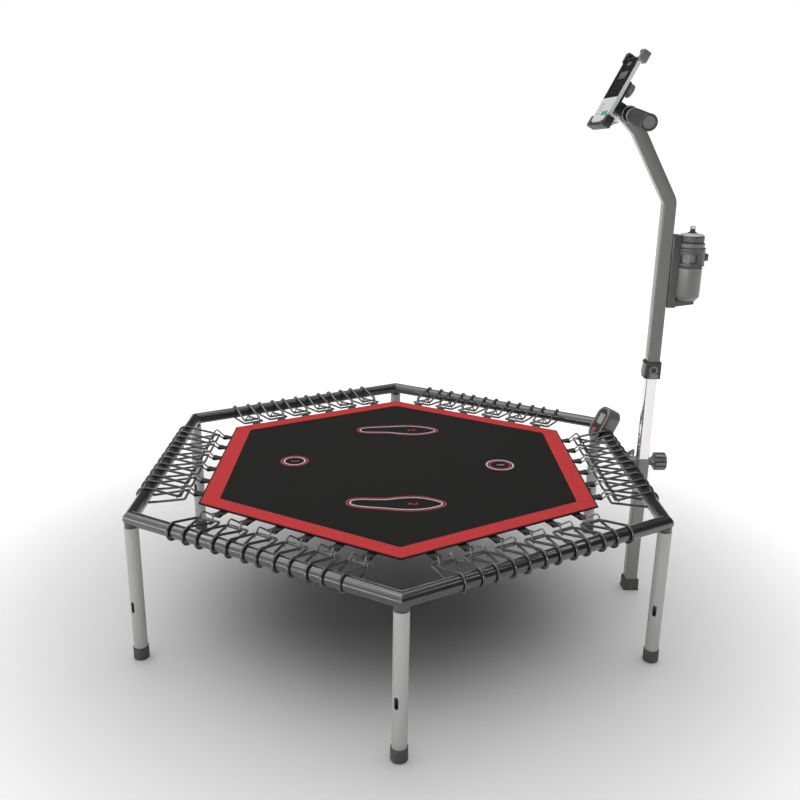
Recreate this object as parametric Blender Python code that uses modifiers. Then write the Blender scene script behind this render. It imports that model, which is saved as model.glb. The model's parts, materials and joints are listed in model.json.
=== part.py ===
"""Fitness trampoline with a hexagonal rim, bungee suspension and a telescopic handlebar.

Everything is in metres with +Z up, and the trampoline stands on z = 0. The shapes are worked out
about the middle of the mat, and one empty then moves them so that the whole box is centred on x.
Directions: +X is the handlebar's side, and the person on the mat looks along +X.
"""

from math import acos, atan2, cos, pi, radians, sin, tan

import bmesh
import bpy
from mathutils import Matrix, Vector

# Rim and legs
RIM_CORNER_RADIUS = 0.630
RIM_HEIGHT = 0.3235
RIM_TUBE_RADIUS = 0.0145
RIM_WALL = 0.0015
LEG_TUBE_RADIUS = 0.0145
LEG_WALL = 0.0015
LEG_TOP_GAP = 0.0083
SPIGOT_DEPTH = 0.060
SPIGOT_STEP = 0.0006
SLOT_HEIGHT = 0.125
SLOT_WIDTH = 0.0085
SLOT_LENGTH = 0.0255
SLOT_AZIMUTH = radians(240)
FOOT_RADIUS = 0.01625
FOOT_LENGTH = 0.028
FOOT_FLOOR = 0.0040
FOOT_CHAMFER = 0.0015

# Clearances
SEAT_GAP = 0.0003
SLIDE_GAP = 0.0003

# Mat
MAT_CORNER_RADIUS = 0.489
BORDER_WIDTH = 0.0416
MAT_TOP = 0.3255
MAT_THICKNESS = 0.0020
BORDER_THICKNESS = 0.0015
STRIP_INSET = 0.034
STRIP_WIDTH = 0.030
STRIP_THICKNESS = 0.0025
STRIP_END_GAP = 0.020
STRAP_INSET = 0.005
STRAP_BITE = 0.004

# Bungee suspension
UNITS_PER_SIDE = 6
UNIT_PITCH = 0.0722
WRAP_SPACING = 0.0390
CORD_RADIUS = 0.00275
ARC_STEPS = 4
PRONG_SPACING = 0.022
HOOK_WIRE_RADIUS = 0.0020
HOOK_BAR_REACH = 0.0145
HOOK_LENGTH = 0.028
HOOK_CORNER = 0.005
PRONG_SHARE = 0.7
FOLD_DEPTH = 0.006
TAB_WIDTH = 0.016
TAB_THICKNESS = 0.0060
TAB_END_REACH = 0.0180

# Upright and telescopic post
UPRIGHT_CLEAR = 0.0080
POST_SIDE = 0.0280
POST_WALL = 0.0015
POST_CORNER = 0.0030
UPRIGHT_TOP = 0.3444
UPRIGHT_FOOT_SIDE = 0.0360
UPRIGHT_FOOT_LENGTH = 0.0270
UPRIGHT_FOOT_CORNER = 0.0030
INNER_TUBE_BOTTOM = 0.160
INNER_TUBE_TOP = 0.700
INNER_WALL = 0.0015
COLLAR_BOTTOM = 0.5435
COLLAR_LENGTH = 0.0400
COLLAR_SIDE = 0.0330
COLLAR_LEDGE = 0.0060
COLLAR_CORNER = 0.0035
BUTTON_RADIUS = 0.0060
BUTTON_RISE = 0.0025
BUTTON_RING_RADIUS = 0.0100
BUTTON_RING_HEIGHT = 0.0015
BUTTON_TRAVEL = 0.0030
FIRST_BEND_HEIGHT = 0.9420
FIRST_LEAN = radians(29.3)
SLANT_LENGTH = 0.1685
SECOND_LEAN = radians(44)
TOP_LENGTH = 0.0435
BEND_RADIUS = 0.030
BEND_STEPS = 3

# Bracket between rim and upright
BRACKET_WIDTH = 0.0260
BRACKET_HEIGHT = 0.040
BRACKET_START = 0.0060
GUSSET_THICKNESS = 0.0040
GUSSET_RISE = 0.0330
GUSSET_SHOULDER = 0.0170
GUSSET_TIP = 0.0045
GUSSET_CLEAR = 0.0008

# Clamp screw and knob
KNOB_HEIGHT = 0.3357
KNOB_GAP = 0.0020
KNOB_RADIUS = 0.0215
KNOB_LENGTH = 0.0275
KNOB_CONE = 0.0110
KNOB_CONE_RADIUS = 0.0090
KNOB_EDGE = 0.0030
KNOB_RIBS = 12
KNOB_GROOVE_RADIUS = 0.0018
KNOB_GROOVE_OFFSET = 0.0006
KNOB_GROOVE_INSET = 0.0040
SCREW_RADIUS = 0.0040
SCREW_BITE = 0.0120

# Handlebar
BAR_RADIUS = 0.0125
BAR_WALL = 0.0020
BAR_KNEE = 0.0080
BAR_STRAIGHT = 0.0450
BAR_HALF_WIDTH = 0.2200
BAR_DROOP = 0.0160
BAR_SWEEP = 0.0090
GRIP_RADIUS = 0.0160
GRIP_LENGTH = 0.1300
GRIP_CAP_LENGTH = 0.0050
GRIP_CAP_STEM = 0.0150
GRIP_CAP_SKIN = 0.0010

# Bottle and cage
BOTTLE_RADIUS = 0.0295
BOTTLE_OFFSET = 0.0453
BOTTLE_BOTTOM = 0.7260
BOTTLE_BASE_RADIUS = 0.0225
BOTTLE_BASE_HEIGHT = 0.0090
BOTTLE_SHOULDER = 0.8490
BOTTLE_SHOULDER_DROP = 0.0035
BOTTLE_NECK_RADIUS = 0.0240
BOTTLE_NECK_TOP = 0.8620
BOTTLE_WALL = 0.0016
CAP_RADIUS = 0.0268
CAP_BOTTOM = 0.8530
CAP_BAND = 0.0160
CAP_DOME = 0.0065
CAP_EDGE_DROP = 0.0025
CAP_SPOUT_RADIUS = 0.0045
CAP_SPOUT_TOP = 0.8850
NOZZLE_RADIUS = 0.0067
NOZZLE_TOP = 0.8905
NOZZLE_BOTTOM = 0.8762
NOZZLE_LIP = 0.0010
CAGE_BACK_TOP = 0.8715
CAGE_BACK_BOTTOM = 0.7085
CAGE_BACK_WIDTH = 0.0260
CAGE_BACK_THICKNESS = 0.0220
CAGE_CLEAR = 0.0006
CAGE_EDGE = 0.0020
CAGE_BAND_WALL = 0.0025
CAGE_BAND_BOTTOM = 0.8038
CAGE_BAND_HEIGHT = 0.0312
CAGE_LIP_END = 0.0165
CAGE_LIP_RISE = 0.0090
CAGE_LIP_INSET = 0.0005
CAGE_LUG_ROOT = 0.8
CAGE_LUG_LENGTH = 0.0060
CAGE_LUG_WIDTH = 0.0200
CAGE_LUG_HEIGHT = 0.0166
CAGE_LUG_MIDDLE = 0.8215
CAGE_WINDOW_WIDTH = 0.0340
CAGE_WINDOW_HEIGHT = 0.0175
CAGE_WINDOW_SHIFT = -0.0055

# Phone and its holder, on the handlebar's near side
CLAMP_Y = -0.0290
CLAMP_WIDTH = 0.0250
CLAMP_WALL = 0.0055
CLAMP_BLOCK_WIDTH = 0.0240
CLAMP_BLOCK_LENGTH = 0.0260
CLAMP_BLOCK_DEPTH = 0.0180
CLAMP_EDGE = 0.0020
PHONE_LENGTH = 0.1475
PHONE_WIDTH = 0.0715
PHONE_THICKNESS = 0.0080
PHONE_CORNER = 0.0085
PHONE_OFFSET = Vector((-0.0332, -0.0284, 0.0479))
PHONE_YAW = radians(9.8)
PHONE_TILT = radians(29.2)
PHONE_ROLL = radians(3.0)
CRADLE_WIDTH = 0.0360
CRADLE_TOP = 0.0280
CRADLE_BOTTOM = -0.0430
CRADLE_THICKNESS = 0.0120
CRADLE_EDGE = 0.0030
CLAW_REACH = 0.0180
CLAW_LENGTH = 0.0240
CLAW_DEPTH = 0.0090
CLAW_WALL = 0.0045
CLAW_LIP = 0.0025
CLAW_OVERHANG = 0.0030
CLAW_EDGE = 0.0030
CLAW_BRIDGE_INSET = 0.0004
CLAW_BRIDGE_SKIN = 0.0020
UPPER_BRIDGE_SHARE = 0.6
LOWER_BRIDGE_SHARE = 0.9
UPPER_CLAW_ROOM = 0.0100
LOWER_CLAW_END = 0.0070
CLAW_ARM_WIDTH = 0.0100
CLAW_ARM_THICKNESS = 0.0030
CLAW_ARM_GAP = 0.0010
CLAW_ARM_END = 0.0120
WHEEL_RADIUS = 0.0145
WHEEL_THICKNESS = 0.0130
WHEEL_OFFSET = 0.0150
WHEEL_RIBS = 12
WHEEL_STEM_RADIUS = 0.0050
WHEEL_GAP = 0.0004
WHEEL_EDGE = 0.0015
WHEEL_NOTCH_OFFSET = 0.0005
SWIVEL_OFFSET = -0.0270

# Jump counter
COUNTER_OFFSET = Vector((-0.0156, -0.0060, 0.0300))
COUNTER_AZIMUTH = radians(197.4)
COUNTER_TILT = radians(27.5)
COUNTER_WIDTH = 0.0528
COUNTER_HEIGHT = 0.0920
COUNTER_DEPTH = 0.0398
COUNTER_FACE = 0.0030
COUNTER_STRAP_Y = 0.2380
COUNTER_STRAP_WIDTH = 0.0240
COUNTER_STRAP_WALL = 0.0025
COUNTER_BUTTON_RADIUS = 0.0085
COUNTER_BUTTON_RISE = 0.0020
COUNTER_BUTTON_TRAVEL = 0.0015
COUNTER_BUTTON_PLACE = (-0.0050, -0.0250)
COUNTER_SCREEN = (0.0200, 0.0270)
COUNTER_SCREEN_PLACE = (0.0, 0.0120)
COUNTER_SCREEN_DEPTH = 0.0010

# Smoothness
ROUND_SIDES = 20
SMALL_SIDES = 12
LEAST_CORNER = 0.0008
WELD = 0.00001

SIDES = ("right", "back_right", "back_left", "left", "front_left", "front_right")
CORNERS = ("front_right", "back_right", "back", "back_left", "front_left", "front")
SIDE_TURN = pi / 3

RIM_APOTHEM = RIM_CORNER_RADIUS * cos(pi / 6)
MAT_APOTHEM = MAT_CORNER_RADIUS * cos(pi / 6)
PANEL_RADIUS = MAT_CORNER_RADIUS - BORDER_WIDTH / cos(pi / 6)
POST_X = RIM_APOTHEM + RIM_TUBE_RADIUS + UPRIGHT_CLEAR + POST_SIDE / 2
POST_BORE = POST_SIDE - 2 * POST_WALL
INNER_SIDE = POST_BORE - 2 * SLIDE_GAP
HOOK_BAR_APOTHEM = MAT_APOTHEM + HOOK_BAR_REACH
STRIP_TOP = MAT_TOP - MAT_THICKNESS - SEAT_GAP
HOOK_HEIGHT = STRIP_TOP - HOOK_WIRE_RADIUS / 2
BOTTLE_X = POST_X + POST_SIDE / 2 + BOTTLE_OFFSET
COUNTER_CENTER = Vector((RIM_APOTHEM, COUNTER_STRAP_Y, RIM_HEIGHT)) + COUNTER_OFFSET


def clear_scene():
    for thing in list(bpy.data.objects):
        bpy.data.objects.remove(thing, do_unlink=True)


clear_scene()
PARTS = bpy.data.collections.new("fitness_trampoline_with_handlebar")
bpy.context.scene.collection.children.link(PARTS)


# Helpers for meshes

def paint(name, colour, roughness, metallic=0.0):
    """A material with one Principled shader."""
    material = bpy.data.materials.new(name)
    material.use_nodes = True
    shader = material.node_tree.nodes["Principled BSDF"]
    shader.inputs["Base Color"].default_value = (*colour, 1.0)
    shader.inputs["Roughness"].default_value = roughness
    shader.inputs["Metallic"].default_value = metallic
    material.diffuse_color = (*colour, 1.0)
    return material


def add_object(name, mesh):
    thing = bpy.data.objects.new(name, mesh)
    PARTS.objects.link(thing)
    return thing


def from_bmesh(name, shape):
    """Close a bmesh into an object with its faces pointing out."""
    bmesh.ops.recalc_face_normals(shape, faces=shape.faces)
    mesh = bpy.data.meshes.new(name)
    shape.to_mesh(mesh)
    shape.free()
    return add_object(name, mesh)


def settle(thing):
    """Turn an object's modifiers, or its curve, into a plain welded mesh."""
    bpy.context.view_layer.update()
    depsgraph = bpy.context.evaluated_depsgraph_get()
    mesh = bpy.data.meshes.new_from_object(thing.evaluated_get(depsgraph))
    shape = bmesh.new()
    shape.from_mesh(mesh)
    bmesh.ops.remove_doubles(shape, verts=shape.verts, dist=WELD)
    bmesh.ops.recalc_face_normals(shape, faces=shape.faces)
    shape.to_mesh(mesh)
    shape.free()
    mesh.materials.clear()
    name = thing.name
    place = thing.matrix_world.copy()
    bpy.data.objects.remove(thing, do_unlink=True)
    settled = add_object(name, mesh)
    settled.matrix_world = place
    return settled


def boolean(thing, others, operation):
    """Join, cut or intersect an object with others, which are used up."""
    for other in others:
        modifier = thing.modifiers.new("boolean", "BOOLEAN")
        modifier.operation = operation
        modifier.solver = "EXACT"
        modifier.object = other
    result = settle(thing)
    for other in others:
        bpy.data.objects.remove(other, do_unlink=True)
    return result


def join(thing, *others):
    return boolean(thing, others, "UNION")


def cut(thing, *others):
    return boolean(thing, others, "DIFFERENCE")


def box(name, size, center, rounding=0.0, segments=2, upright_edges=False):
    """A box, with all its edges or only the upright ones rounded."""
    shape = bmesh.new()
    bmesh.ops.create_cube(shape, size=1.0)
    bmesh.ops.scale(shape, vec=size, verts=shape.verts)
    if rounding > 0.0:
        edges = shape.edges[:]
        if upright_edges:
            edges = [e for e in edges if abs(e.verts[0].co.z - e.verts[1].co.z) > size[2] / 2]
        bmesh.ops.bevel(
            shape, geom=edges, offset=rounding, segments=segments,
            affect="EDGES", profile=0.5, material=-1,
        )
    bmesh.ops.translate(shape, vec=center, verts=shape.verts)
    return from_bmesh(name, shape)


def rod(name, radius, start, end, sides=ROUND_SIDES):
    """A cylinder from one point to another."""
    start = Vector(start)
    end = Vector(end)
    along = end - start
    shape = bmesh.new()
    bmesh.ops.create_cone(
        shape, cap_ends=True, cap_tris=False, segments=sides,
        radius1=radius, radius2=radius, depth=along.length,
    )
    turn = Vector((0, 0, 1)).rotation_difference(along.normalized()).to_matrix().to_4x4()
    bmesh.ops.transform(shape, matrix=Matrix.Translation((start + end) / 2) @ turn, verts=shape.verts)
    return from_bmesh(name, shape)


def turned(name, profile, sides=ROUND_SIDES, closed=False):
    """A turned shape from (radius, height) points that run down its outer side."""
    shape = bmesh.new()
    points = [shape.verts.new((radius, 0.0, height)) for radius, height in profile]
    for first, second in zip(points, points[1:]):
        shape.edges.new((first, second))
    if closed:
        shape.edges.new((points[-1], points[0]))
    mesh = bpy.data.meshes.new(name)
    shape.to_mesh(mesh)
    shape.free()
    thing = add_object(name, mesh)
    screw = thing.modifiers.new("turn", "SCREW")
    screw.steps = sides
    screw.render_steps = sides
    screw.use_merge_vertices = True
    screw.merge_threshold = WELD
    return settle(thing)


def tube(name, points, radius, resolution):
    """A round bar along a list of points."""
    curve = bpy.data.curves.new(name, "CURVE")
    curve.dimensions = "3D"
    curve.bevel_depth = radius
    curve.bevel_resolution = resolution
    curve.use_fill_caps = True
    spline = curve.splines.new("POLY")
    spline.points.add(len(points) - 1)
    for point, place in zip(spline.points, points):
        point.co = (*place, 1.0)
    return settle(add_object(name, curve))


def slab(name, points, thickness):
    """A flat plate of a given outline, in the XY plane with its middle at z = 0."""
    curve = bpy.data.curves.new(name, "CURVE")
    curve.dimensions = "2D"
    curve.fill_mode = "BOTH"
    curve.extrude = thickness / 2
    spline = curve.splines.new("POLY")
    spline.points.add(len(points) - 1)
    for point, place in zip(spline.points, points):
        point.co = (place[0], place[1], 0.0, 1.0)
    spline.use_cyclic_u = True
    return settle(add_object(name, curve))


def swept_square(name, path, side, corner):
    """A bar of rounded square section along a path in the XZ plane."""
    section = bpy.data.curves.new(name + "_section", "CURVE")
    section.dimensions = "2D"
    outline = section.splines.new("POLY")
    points = rounded_rectangle(side, side, corner, 2)
    outline.points.add(len(points) - 1)
    for point, place in zip(outline.points, points):
        point.co = (place[0], place[1], 0.0, 1.0)
    outline.use_cyclic_u = True
    section_object = add_object(name + "_section", section)
    curve = bpy.data.curves.new(name, "CURVE")
    curve.dimensions = "3D"
    curve.bevel_mode = "OBJECT"
    curve.bevel_object = section_object
    curve.use_fill_caps = True
    curve.twist_mode = "MINIMUM"
    spline = curve.splines.new("POLY")
    spline.points.add(len(path) - 1)
    for point, place in zip(spline.points, path):
        point.co = (*place, 1.0)
    bar = settle(add_object(name, curve))
    bpy.data.objects.remove(section_object, do_unlink=True)
    return bar


def rounded_rectangle(width, height, corner, steps):
    """Points of a rectangle with round corners, anticlockwise."""
    points = []
    for turn, (sx, sy) in enumerate(((1, 1), (-1, 1), (-1, -1), (1, -1))):
        for step in range(steps + 1):
            angle = (turn + step / steps) * pi / 2
            x = sx * (width / 2 - corner) + corner * cos(angle)
            y = sy * (height / 2 - corner) + corner * sin(angle)
            points.append((x, y))
    return points


def stadium(width, height, steps):
    """Points of an upright oblong with half-round ends."""
    straight = (height - width) / 2
    points = []
    for step in range(steps + 1):
        angle = pi * step / steps
        points.append((width / 2 * cos(angle), straight + width / 2 * sin(angle)))
    for step in range(steps + 1):
        angle = pi + pi * step / steps
        points.append((width / 2 * cos(angle), -straight + width / 2 * sin(angle)))
    return points


def hexagon(radius):
    """Corners of a hexagon whose flat sides face +X and -X."""
    return [
        (radius * cos(SIDE_TURN * (i - 0.5)), radius * sin(SIDE_TURN * (i - 0.5))) for i in range(6)
    ]


def move_mesh(thing, matrix):
    """Move an object's points, not the object."""
    thing.data.transform(matrix)
    return thing


def finish(thing, material, origin=None, smooth_angle=35):
    """Give a piece its material, its origin and its smooth shading."""
    if origin is not None:
        origin = Vector(origin)
        thing.data.transform(Matrix.Translation(-origin))
        thing.location = origin
    thing.data.materials.append(material)
    thing.data.shade_smooth()
    thing.data.set_sharp_from_angle(angle=radians(smooth_angle))
    return thing


# Materials

BLACK_PAINT = paint("black_paint", (0.030, 0.030, 0.030), 0.32, 0.35)
LEG_PAINT = paint("leg_paint", (0.37, 0.37, 0.36), 0.38, 0.30)
RUBBER = paint("rubber", (0.115, 0.115, 0.112), 0.75)
POST_PAINT = paint("post_paint", (0.135, 0.135, 0.130), 0.38, 0.30)
CHROME = paint("chrome", (0.83, 0.83, 0.84), 0.07, 1.0)
BLACK_PLASTIC = paint("black_plastic", (0.035, 0.035, 0.035), 0.45)
GREY_PLASTIC = paint("grey_plastic", (0.090, 0.090, 0.088), 0.45)
MAT_CLOTH = paint("mat_cloth", (0.022, 0.022, 0.021), 0.80)
BORDER_CLOTH = paint("border_cloth", (0.54, 0.045, 0.052), 0.62)
WEBBING = paint("webbing", (0.030, 0.031, 0.030), 0.85)
CORD = paint("cord", (0.018, 0.018, 0.018), 0.62)
FOAM = paint("foam", (0.060, 0.060, 0.060), 0.88)
BOTTLE_PLASTIC = paint("bottle_plastic", (0.215, 0.215, 0.210), 0.40)
CAP_PLASTIC = paint("cap_plastic", (0.60, 0.60, 0.59), 0.40)
PHONE_GLASS = paint("phone_glass", (0.75, 0.75, 0.76), 0.25)
RED_BUTTON = paint("red_button", (0.60, 0.10, 0.12), 0.35)
STEEL = paint("steel", (0.55, 0.55, 0.56), 0.30, 1.0)


# Rim, legs and feet

def side_matrix(index):
    """From the right side's place to another side's."""
    return Matrix.Rotation(SIDE_TURN * index, 4, "Z")


def rail_rod(name, radius, middle, length):
    """A length of the right side's straight line, for its tube or for the room round it."""
    start = (RIM_APOTHEM, middle - length / 2, RIM_HEIGHT)
    end = (RIM_APOTHEM, middle + length / 2, RIM_HEIGHT)
    return rod(name, radius, start, end)


def rail_room(clearance, middle, length):
    """What a piece on the right rim tube leaves open round it."""
    return rail_rod("rail_room", (RIM_TUBE_RADIUS + clearance) / cos(pi / ROUND_SIDES), middle, length)


def mitre_wedge(sign):
    """The half space past a corner of the right side, as a large turned box."""
    size = RIM_CORNER_RADIUS / 2
    wedge = box("wedge", (size, size, size), (0.0, sign * size / 2, 0.0))
    corner = Vector((RIM_APOTHEM, sign * RIM_CORNER_RADIUS / 2, RIM_HEIGHT))
    turn = Matrix.Rotation(sign * pi / 6, 4, "Z")
    shift = Matrix.Translation((0.0, -sign * SEAT_GAP / 2, 0.0))
    return move_mesh(wedge, Matrix.Translation(corner) @ turn @ shift)


def right_rim_tube():
    """The right side's tube, mitred, with the leg's stub at its back end."""
    length = RIM_CORNER_RADIUS + 4 * RIM_TUBE_RADIUS
    blank = rail_rod("rail", RIM_TUBE_RADIUS, 0.0, length)
    corner_y = RIM_CORNER_RADIUS / 2
    spigot_radius = LEG_TUBE_RADIUS - LEG_WALL - SLIDE_GAP
    root = rod(
        "spigot_root", spigot_radius - SPIGOT_STEP,
        (RIM_APOTHEM, corner_y, RIM_HEIGHT - RIM_TUBE_RADIUS - LEG_TOP_GAP / 2),
        (RIM_APOTHEM, corner_y, RIM_HEIGHT - RIM_TUBE_RADIUS / 2), sides=16,
    )
    blank = join(blank, root)
    blank = cut(blank, mitre_wedge(1), mitre_wedge(-1))
    lower_top = RIM_HEIGHT - RIM_TUBE_RADIUS - SEAT_GAP
    stub = rod(
        "spigot", spigot_radius,
        (RIM_APOTHEM, corner_y, lower_top - LEG_TOP_GAP - SPIGOT_DEPTH),
        (RIM_APOTHEM, corner_y, lower_top), sides=16,
    )
    blank = join(blank, stub)
    bore = rail_rod("rail_bore", RIM_TUBE_RADIUS - RIM_WALL, 0.0, 2 * length)
    return cut(blank, bore)


def build_rim():
    rail = right_rim_tube()
    finish(rail, BLACK_PAINT)
    for index, side in enumerate(SIDES):
        piece = add_object("rim_tube_" + side, rail.data)
        piece.matrix_world = side_matrix(index)
    bpy.data.objects.remove(rail, do_unlink=True)


def leg_mesh():
    """A leg tube about the origin, with its oblong slot."""
    top = RIM_HEIGHT - RIM_TUBE_RADIUS - LEG_TOP_GAP
    bottom = FOOT_FLOOR + SEAT_GAP
    outer = LEG_TUBE_RADIUS
    inner = LEG_TUBE_RADIUS - LEG_WALL
    leg = turned("leg", [(outer, top), (outer, bottom), (inner, bottom), (inner, top)], sides=16, closed=True)
    slot = slab("slot", stadium(SLOT_WIDTH, SLOT_LENGTH, 4), 2 * LEG_TUBE_RADIUS)
    stand = Matrix.Rotation(pi / 2, 4, "X")
    face = Matrix.Rotation(SLOT_AZIMUTH + pi / 2, 4, "Z")
    reach = Matrix.Translation((0.0, -LEG_TUBE_RADIUS, SLOT_HEIGHT))
    move_mesh(slot, face @ reach @ stand)
    return cut(leg, slot)


def foot_mesh():
    """A rubber cap with the pocket for the leg."""
    pocket = LEG_TUBE_RADIUS + SEAT_GAP
    profile = [
        (0.0, FOOT_FLOOR), (pocket, FOOT_FLOOR), (pocket, FOOT_LENGTH), (FOOT_RADIUS, FOOT_LENGTH),
        (FOOT_RADIUS, FOOT_CHAMFER), (FOOT_RADIUS - FOOT_CHAMFER, 0.0), (0.0, 0.0),
    ]
    return turned("foot", profile, sides=16)


def build_legs():
    leg = leg_mesh()
    foot = foot_mesh()
    finish(leg, LEG_PAINT)
    finish(foot, RUBBER)
    for index, corner in enumerate(CORNERS):
        angle = SIDE_TURN * (index - 0.5)
        place = (RIM_CORNER_RADIUS * cos(angle), RIM_CORNER_RADIUS * sin(angle), 0.0)
        for name, source in (("leg_", leg), ("leg_foot_", foot)):
            piece = add_object(name + corner, source.data)
            piece.location = place
    bpy.data.objects.remove(leg, do_unlink=True)
    bpy.data.objects.remove(foot, do_unlink=True)


# Mat, hook strips and bungees

def build_mat():
    """The mat, lower under its border by the gap between them."""
    margin_thickness = MAT_THICKNESS - SEAT_GAP
    margin = slab("mat_fabric", hexagon(MAT_CORNER_RADIUS), margin_thickness)
    move_mesh(margin, Matrix.Translation((0, 0, MAT_TOP - SEAT_GAP - margin_thickness / 2)))
    panel_radius = PANEL_RADIUS - SEAT_GAP / cos(pi / 6)
    panel = slab("panel", hexagon(panel_radius), MAT_THICKNESS / 2)
    move_mesh(panel, Matrix.Translation((0, 0, MAT_TOP - MAT_THICKNESS / 4)))
    mat = join(margin, panel)
    finish(mat, MAT_CLOTH)
    border = slab("mat_border", hexagon(MAT_CORNER_RADIUS), BORDER_THICKNESS)
    window = slab("border_window", hexagon(PANEL_RADIUS), 3 * BORDER_THICKNESS)
    border = cut(border, window)
    move_mesh(border, Matrix.Translation((0, 0, MAT_TOP + BORDER_THICKNESS / 2)))
    finish(border, BORDER_CLOTH)


def unit_places():
    """Where the suspension units stand along a side."""
    return [UNIT_PITCH * (i - (UNITS_PER_SIDE - 1) / 2) for i in range(UNITS_PER_SIDE)]


def hook_path(along):
    """One wire hook: a bar through the tab and a prong at each end of it."""
    half = PRONG_SPACING / 2
    bar = HOOK_BAR_APOTHEM
    tip = HOOK_BAR_APOTHEM + HOOK_LENGTH
    corner = HOOK_CORNER
    height = HOOK_HEIGHT
    return [
        (tip, along - half, height), (bar + corner, along - half, height),
        (bar, along - half + corner, height), (bar, along + half - corner, height),
        (bar + corner, along + half, height), (tip, along + half, height),
    ]


def hook_strip_mesh():
    """The right side's edge webbing with its tabs and wire hooks."""
    width_there = 2 * (MAT_APOTHEM - STRIP_INSET) * tan(pi / 6)
    inner = MAT_APOTHEM - STRIP_INSET
    strip = box(
        "hook_strip", (STRIP_WIDTH, width_there - 2 * STRIP_END_GAP, STRIP_THICKNESS),
        (inner + STRIP_WIDTH / 2, 0.0, STRIP_TOP - STRIP_THICKNESS / 2),
    )
    fold_middle = HOOK_HEIGHT
    fold_start = MAT_APOTHEM + SEAT_GAP
    fold_end = MAT_APOTHEM + TAB_END_REACH
    strap_start = inner + STRAP_INSET
    strap_end = fold_start + STRAP_BITE
    strap_thickness = STRIP_TOP - (fold_middle - TAB_THICKNESS / 2)
    pieces = []
    for along in unit_places():
        pieces.append(box(
            "strap", (strap_end - strap_start, TAB_WIDTH, strap_thickness),
            ((strap_end + strap_start) / 2, along, STRIP_TOP - strap_thickness / 2),
        ))
        pieces.append(box(
            "fold", (fold_end - fold_start, TAB_WIDTH, TAB_THICKNESS),
            ((fold_end + fold_start) / 2, along, fold_middle),
        ))
        pieces.append(tube("hook", hook_path(along), HOOK_WIRE_RADIUS, 0))
    return join(strip, *pieces)


def bungee_points():
    """The right side's cord: out over the rim and back under it, twice for each unit."""
    clear = RIM_TUBE_RADIUS + SEAT_GAP + CORD_RADIUS
    upper = HOOK_HEIGHT + HOOK_WIRE_RADIUS + SEAT_GAP + CORD_RADIUS
    lower = HOOK_HEIGHT - HOOK_WIRE_RADIUS - SEAT_GAP - CORD_RADIUS
    inner = HOOK_BAR_APOTHEM + HOOK_LENGTH * PRONG_SHARE
    reach = RIM_APOTHEM - inner
    top_angle = pi - atan2(upper - RIM_HEIGHT, reach) - acos(clear / reach)
    bottom_angle = -(pi - atan2(RIM_HEIGHT - lower, reach) - acos(clear / reach))
    step = (top_angle - bottom_angle) / ARC_STEPS
    radius = clear / cos(step / 2)

    def wrap(along):
        arc = []
        for i in range(ARC_STEPS + 1):
            angle = top_angle - step * i
            arc.append((RIM_APOTHEM + radius * cos(angle), along, RIM_HEIGHT + radius * sin(angle)))
        return arc

    points = []
    for along in unit_places():
        prong = PRONG_SPACING / 2
        points.append((inner, along - prong, upper))
        points += wrap(along - WRAP_SPACING / 2)
        points.append((inner, along - prong, lower))
        points.append((inner - FOLD_DEPTH, along, lower))
        points.append((inner, along + prong, lower))
        points += reversed(wrap(along + WRAP_SPACING / 2))
        points.append((inner, along + prong, upper))
    return points


def least_gap(points, radius, apart):
    """The least gap of a cord to itself, leaving out neighbours along it."""
    dense = []
    for first, second in zip(points, points[1:]):
        first = Vector(first)
        second = Vector(second)
        pieces = max(1, int((second - first).length / radius))
        dense += [first.lerp(second, i / pieces) for i in range(pieces)]
    least = 1.0
    for i, here in enumerate(dense):
        for there in dense[i + apart:]:
            least = min(least, (here - there).length)
    return least - 2 * radius


def build_suspension():
    strip = hook_strip_mesh()
    finish(strip, WEBBING)
    points = bungee_points()
    print("least gap of a bungee to itself: %.2f mm" % (1000 * least_gap(points, CORD_RADIUS, 8)))
    cord = tube("bungee", points, CORD_RADIUS, 1)
    finish(cord, CORD, smooth_angle=80)
    for index, side in enumerate(SIDES):
        for name, source in (("hook_strip_", strip), ("bungee_", cord)):
            piece = add_object(name + side, source.data)
            piece.matrix_world = side_matrix(index)
    bpy.data.objects.remove(strip, do_unlink=True)
    bpy.data.objects.remove(cord, do_unlink=True)


# Upright, telescopic tube and bent post

def square_tube(name, side, wall, corner, bottom, top, x):
    """An upright square tube, open at both ends."""
    outer = slab(name, rounded_rectangle(side, side, corner, 2), top - bottom)
    hole = side - 2 * wall
    hole_corner = max(corner - wall, LEAST_CORNER)
    inner = slab(name + "_bore", rounded_rectangle(hole, hole, hole_corner, 2), 2 * (top - bottom))
    shaped = cut(outer, inner)
    return move_mesh(shaped, Matrix.Translation((x, 0.0, (top + bottom) / 2)))


def build_upright():
    bottom = FOOT_FLOOR + SEAT_GAP
    upright = square_tube("upright_socket", POST_SIDE, POST_WALL, POST_CORNER, bottom, UPRIGHT_TOP, POST_X)
    hole_end = (POST_X + POST_SIDE, 0.0, KNOB_HEIGHT)
    hole = rod("screw_hole", SCREW_RADIUS + SLIDE_GAP, (POST_X, 0.0, KNOB_HEIGHT), hole_end, sides=SMALL_SIDES)
    upright = cut(upright, hole)
    finish(upright, POST_PAINT)
    block = box(
        "upright_foot", (UPRIGHT_FOOT_SIDE, UPRIGHT_FOOT_SIDE, UPRIGHT_FOOT_LENGTH),
        (POST_X, 0.0, UPRIGHT_FOOT_LENGTH / 2), rounding=UPRIGHT_FOOT_CORNER, upright_edges=True,
    )
    side = POST_SIDE + 2 * SEAT_GAP
    pocket_middle = FOOT_FLOOR + UPRIGHT_FOOT_LENGTH / 2
    pocket = box("foot_pocket", (side, side, UPRIGHT_FOOT_LENGTH), (POST_X, 0.0, pocket_middle))
    block = cut(block, pocket)
    finish(block, RUBBER)


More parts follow.
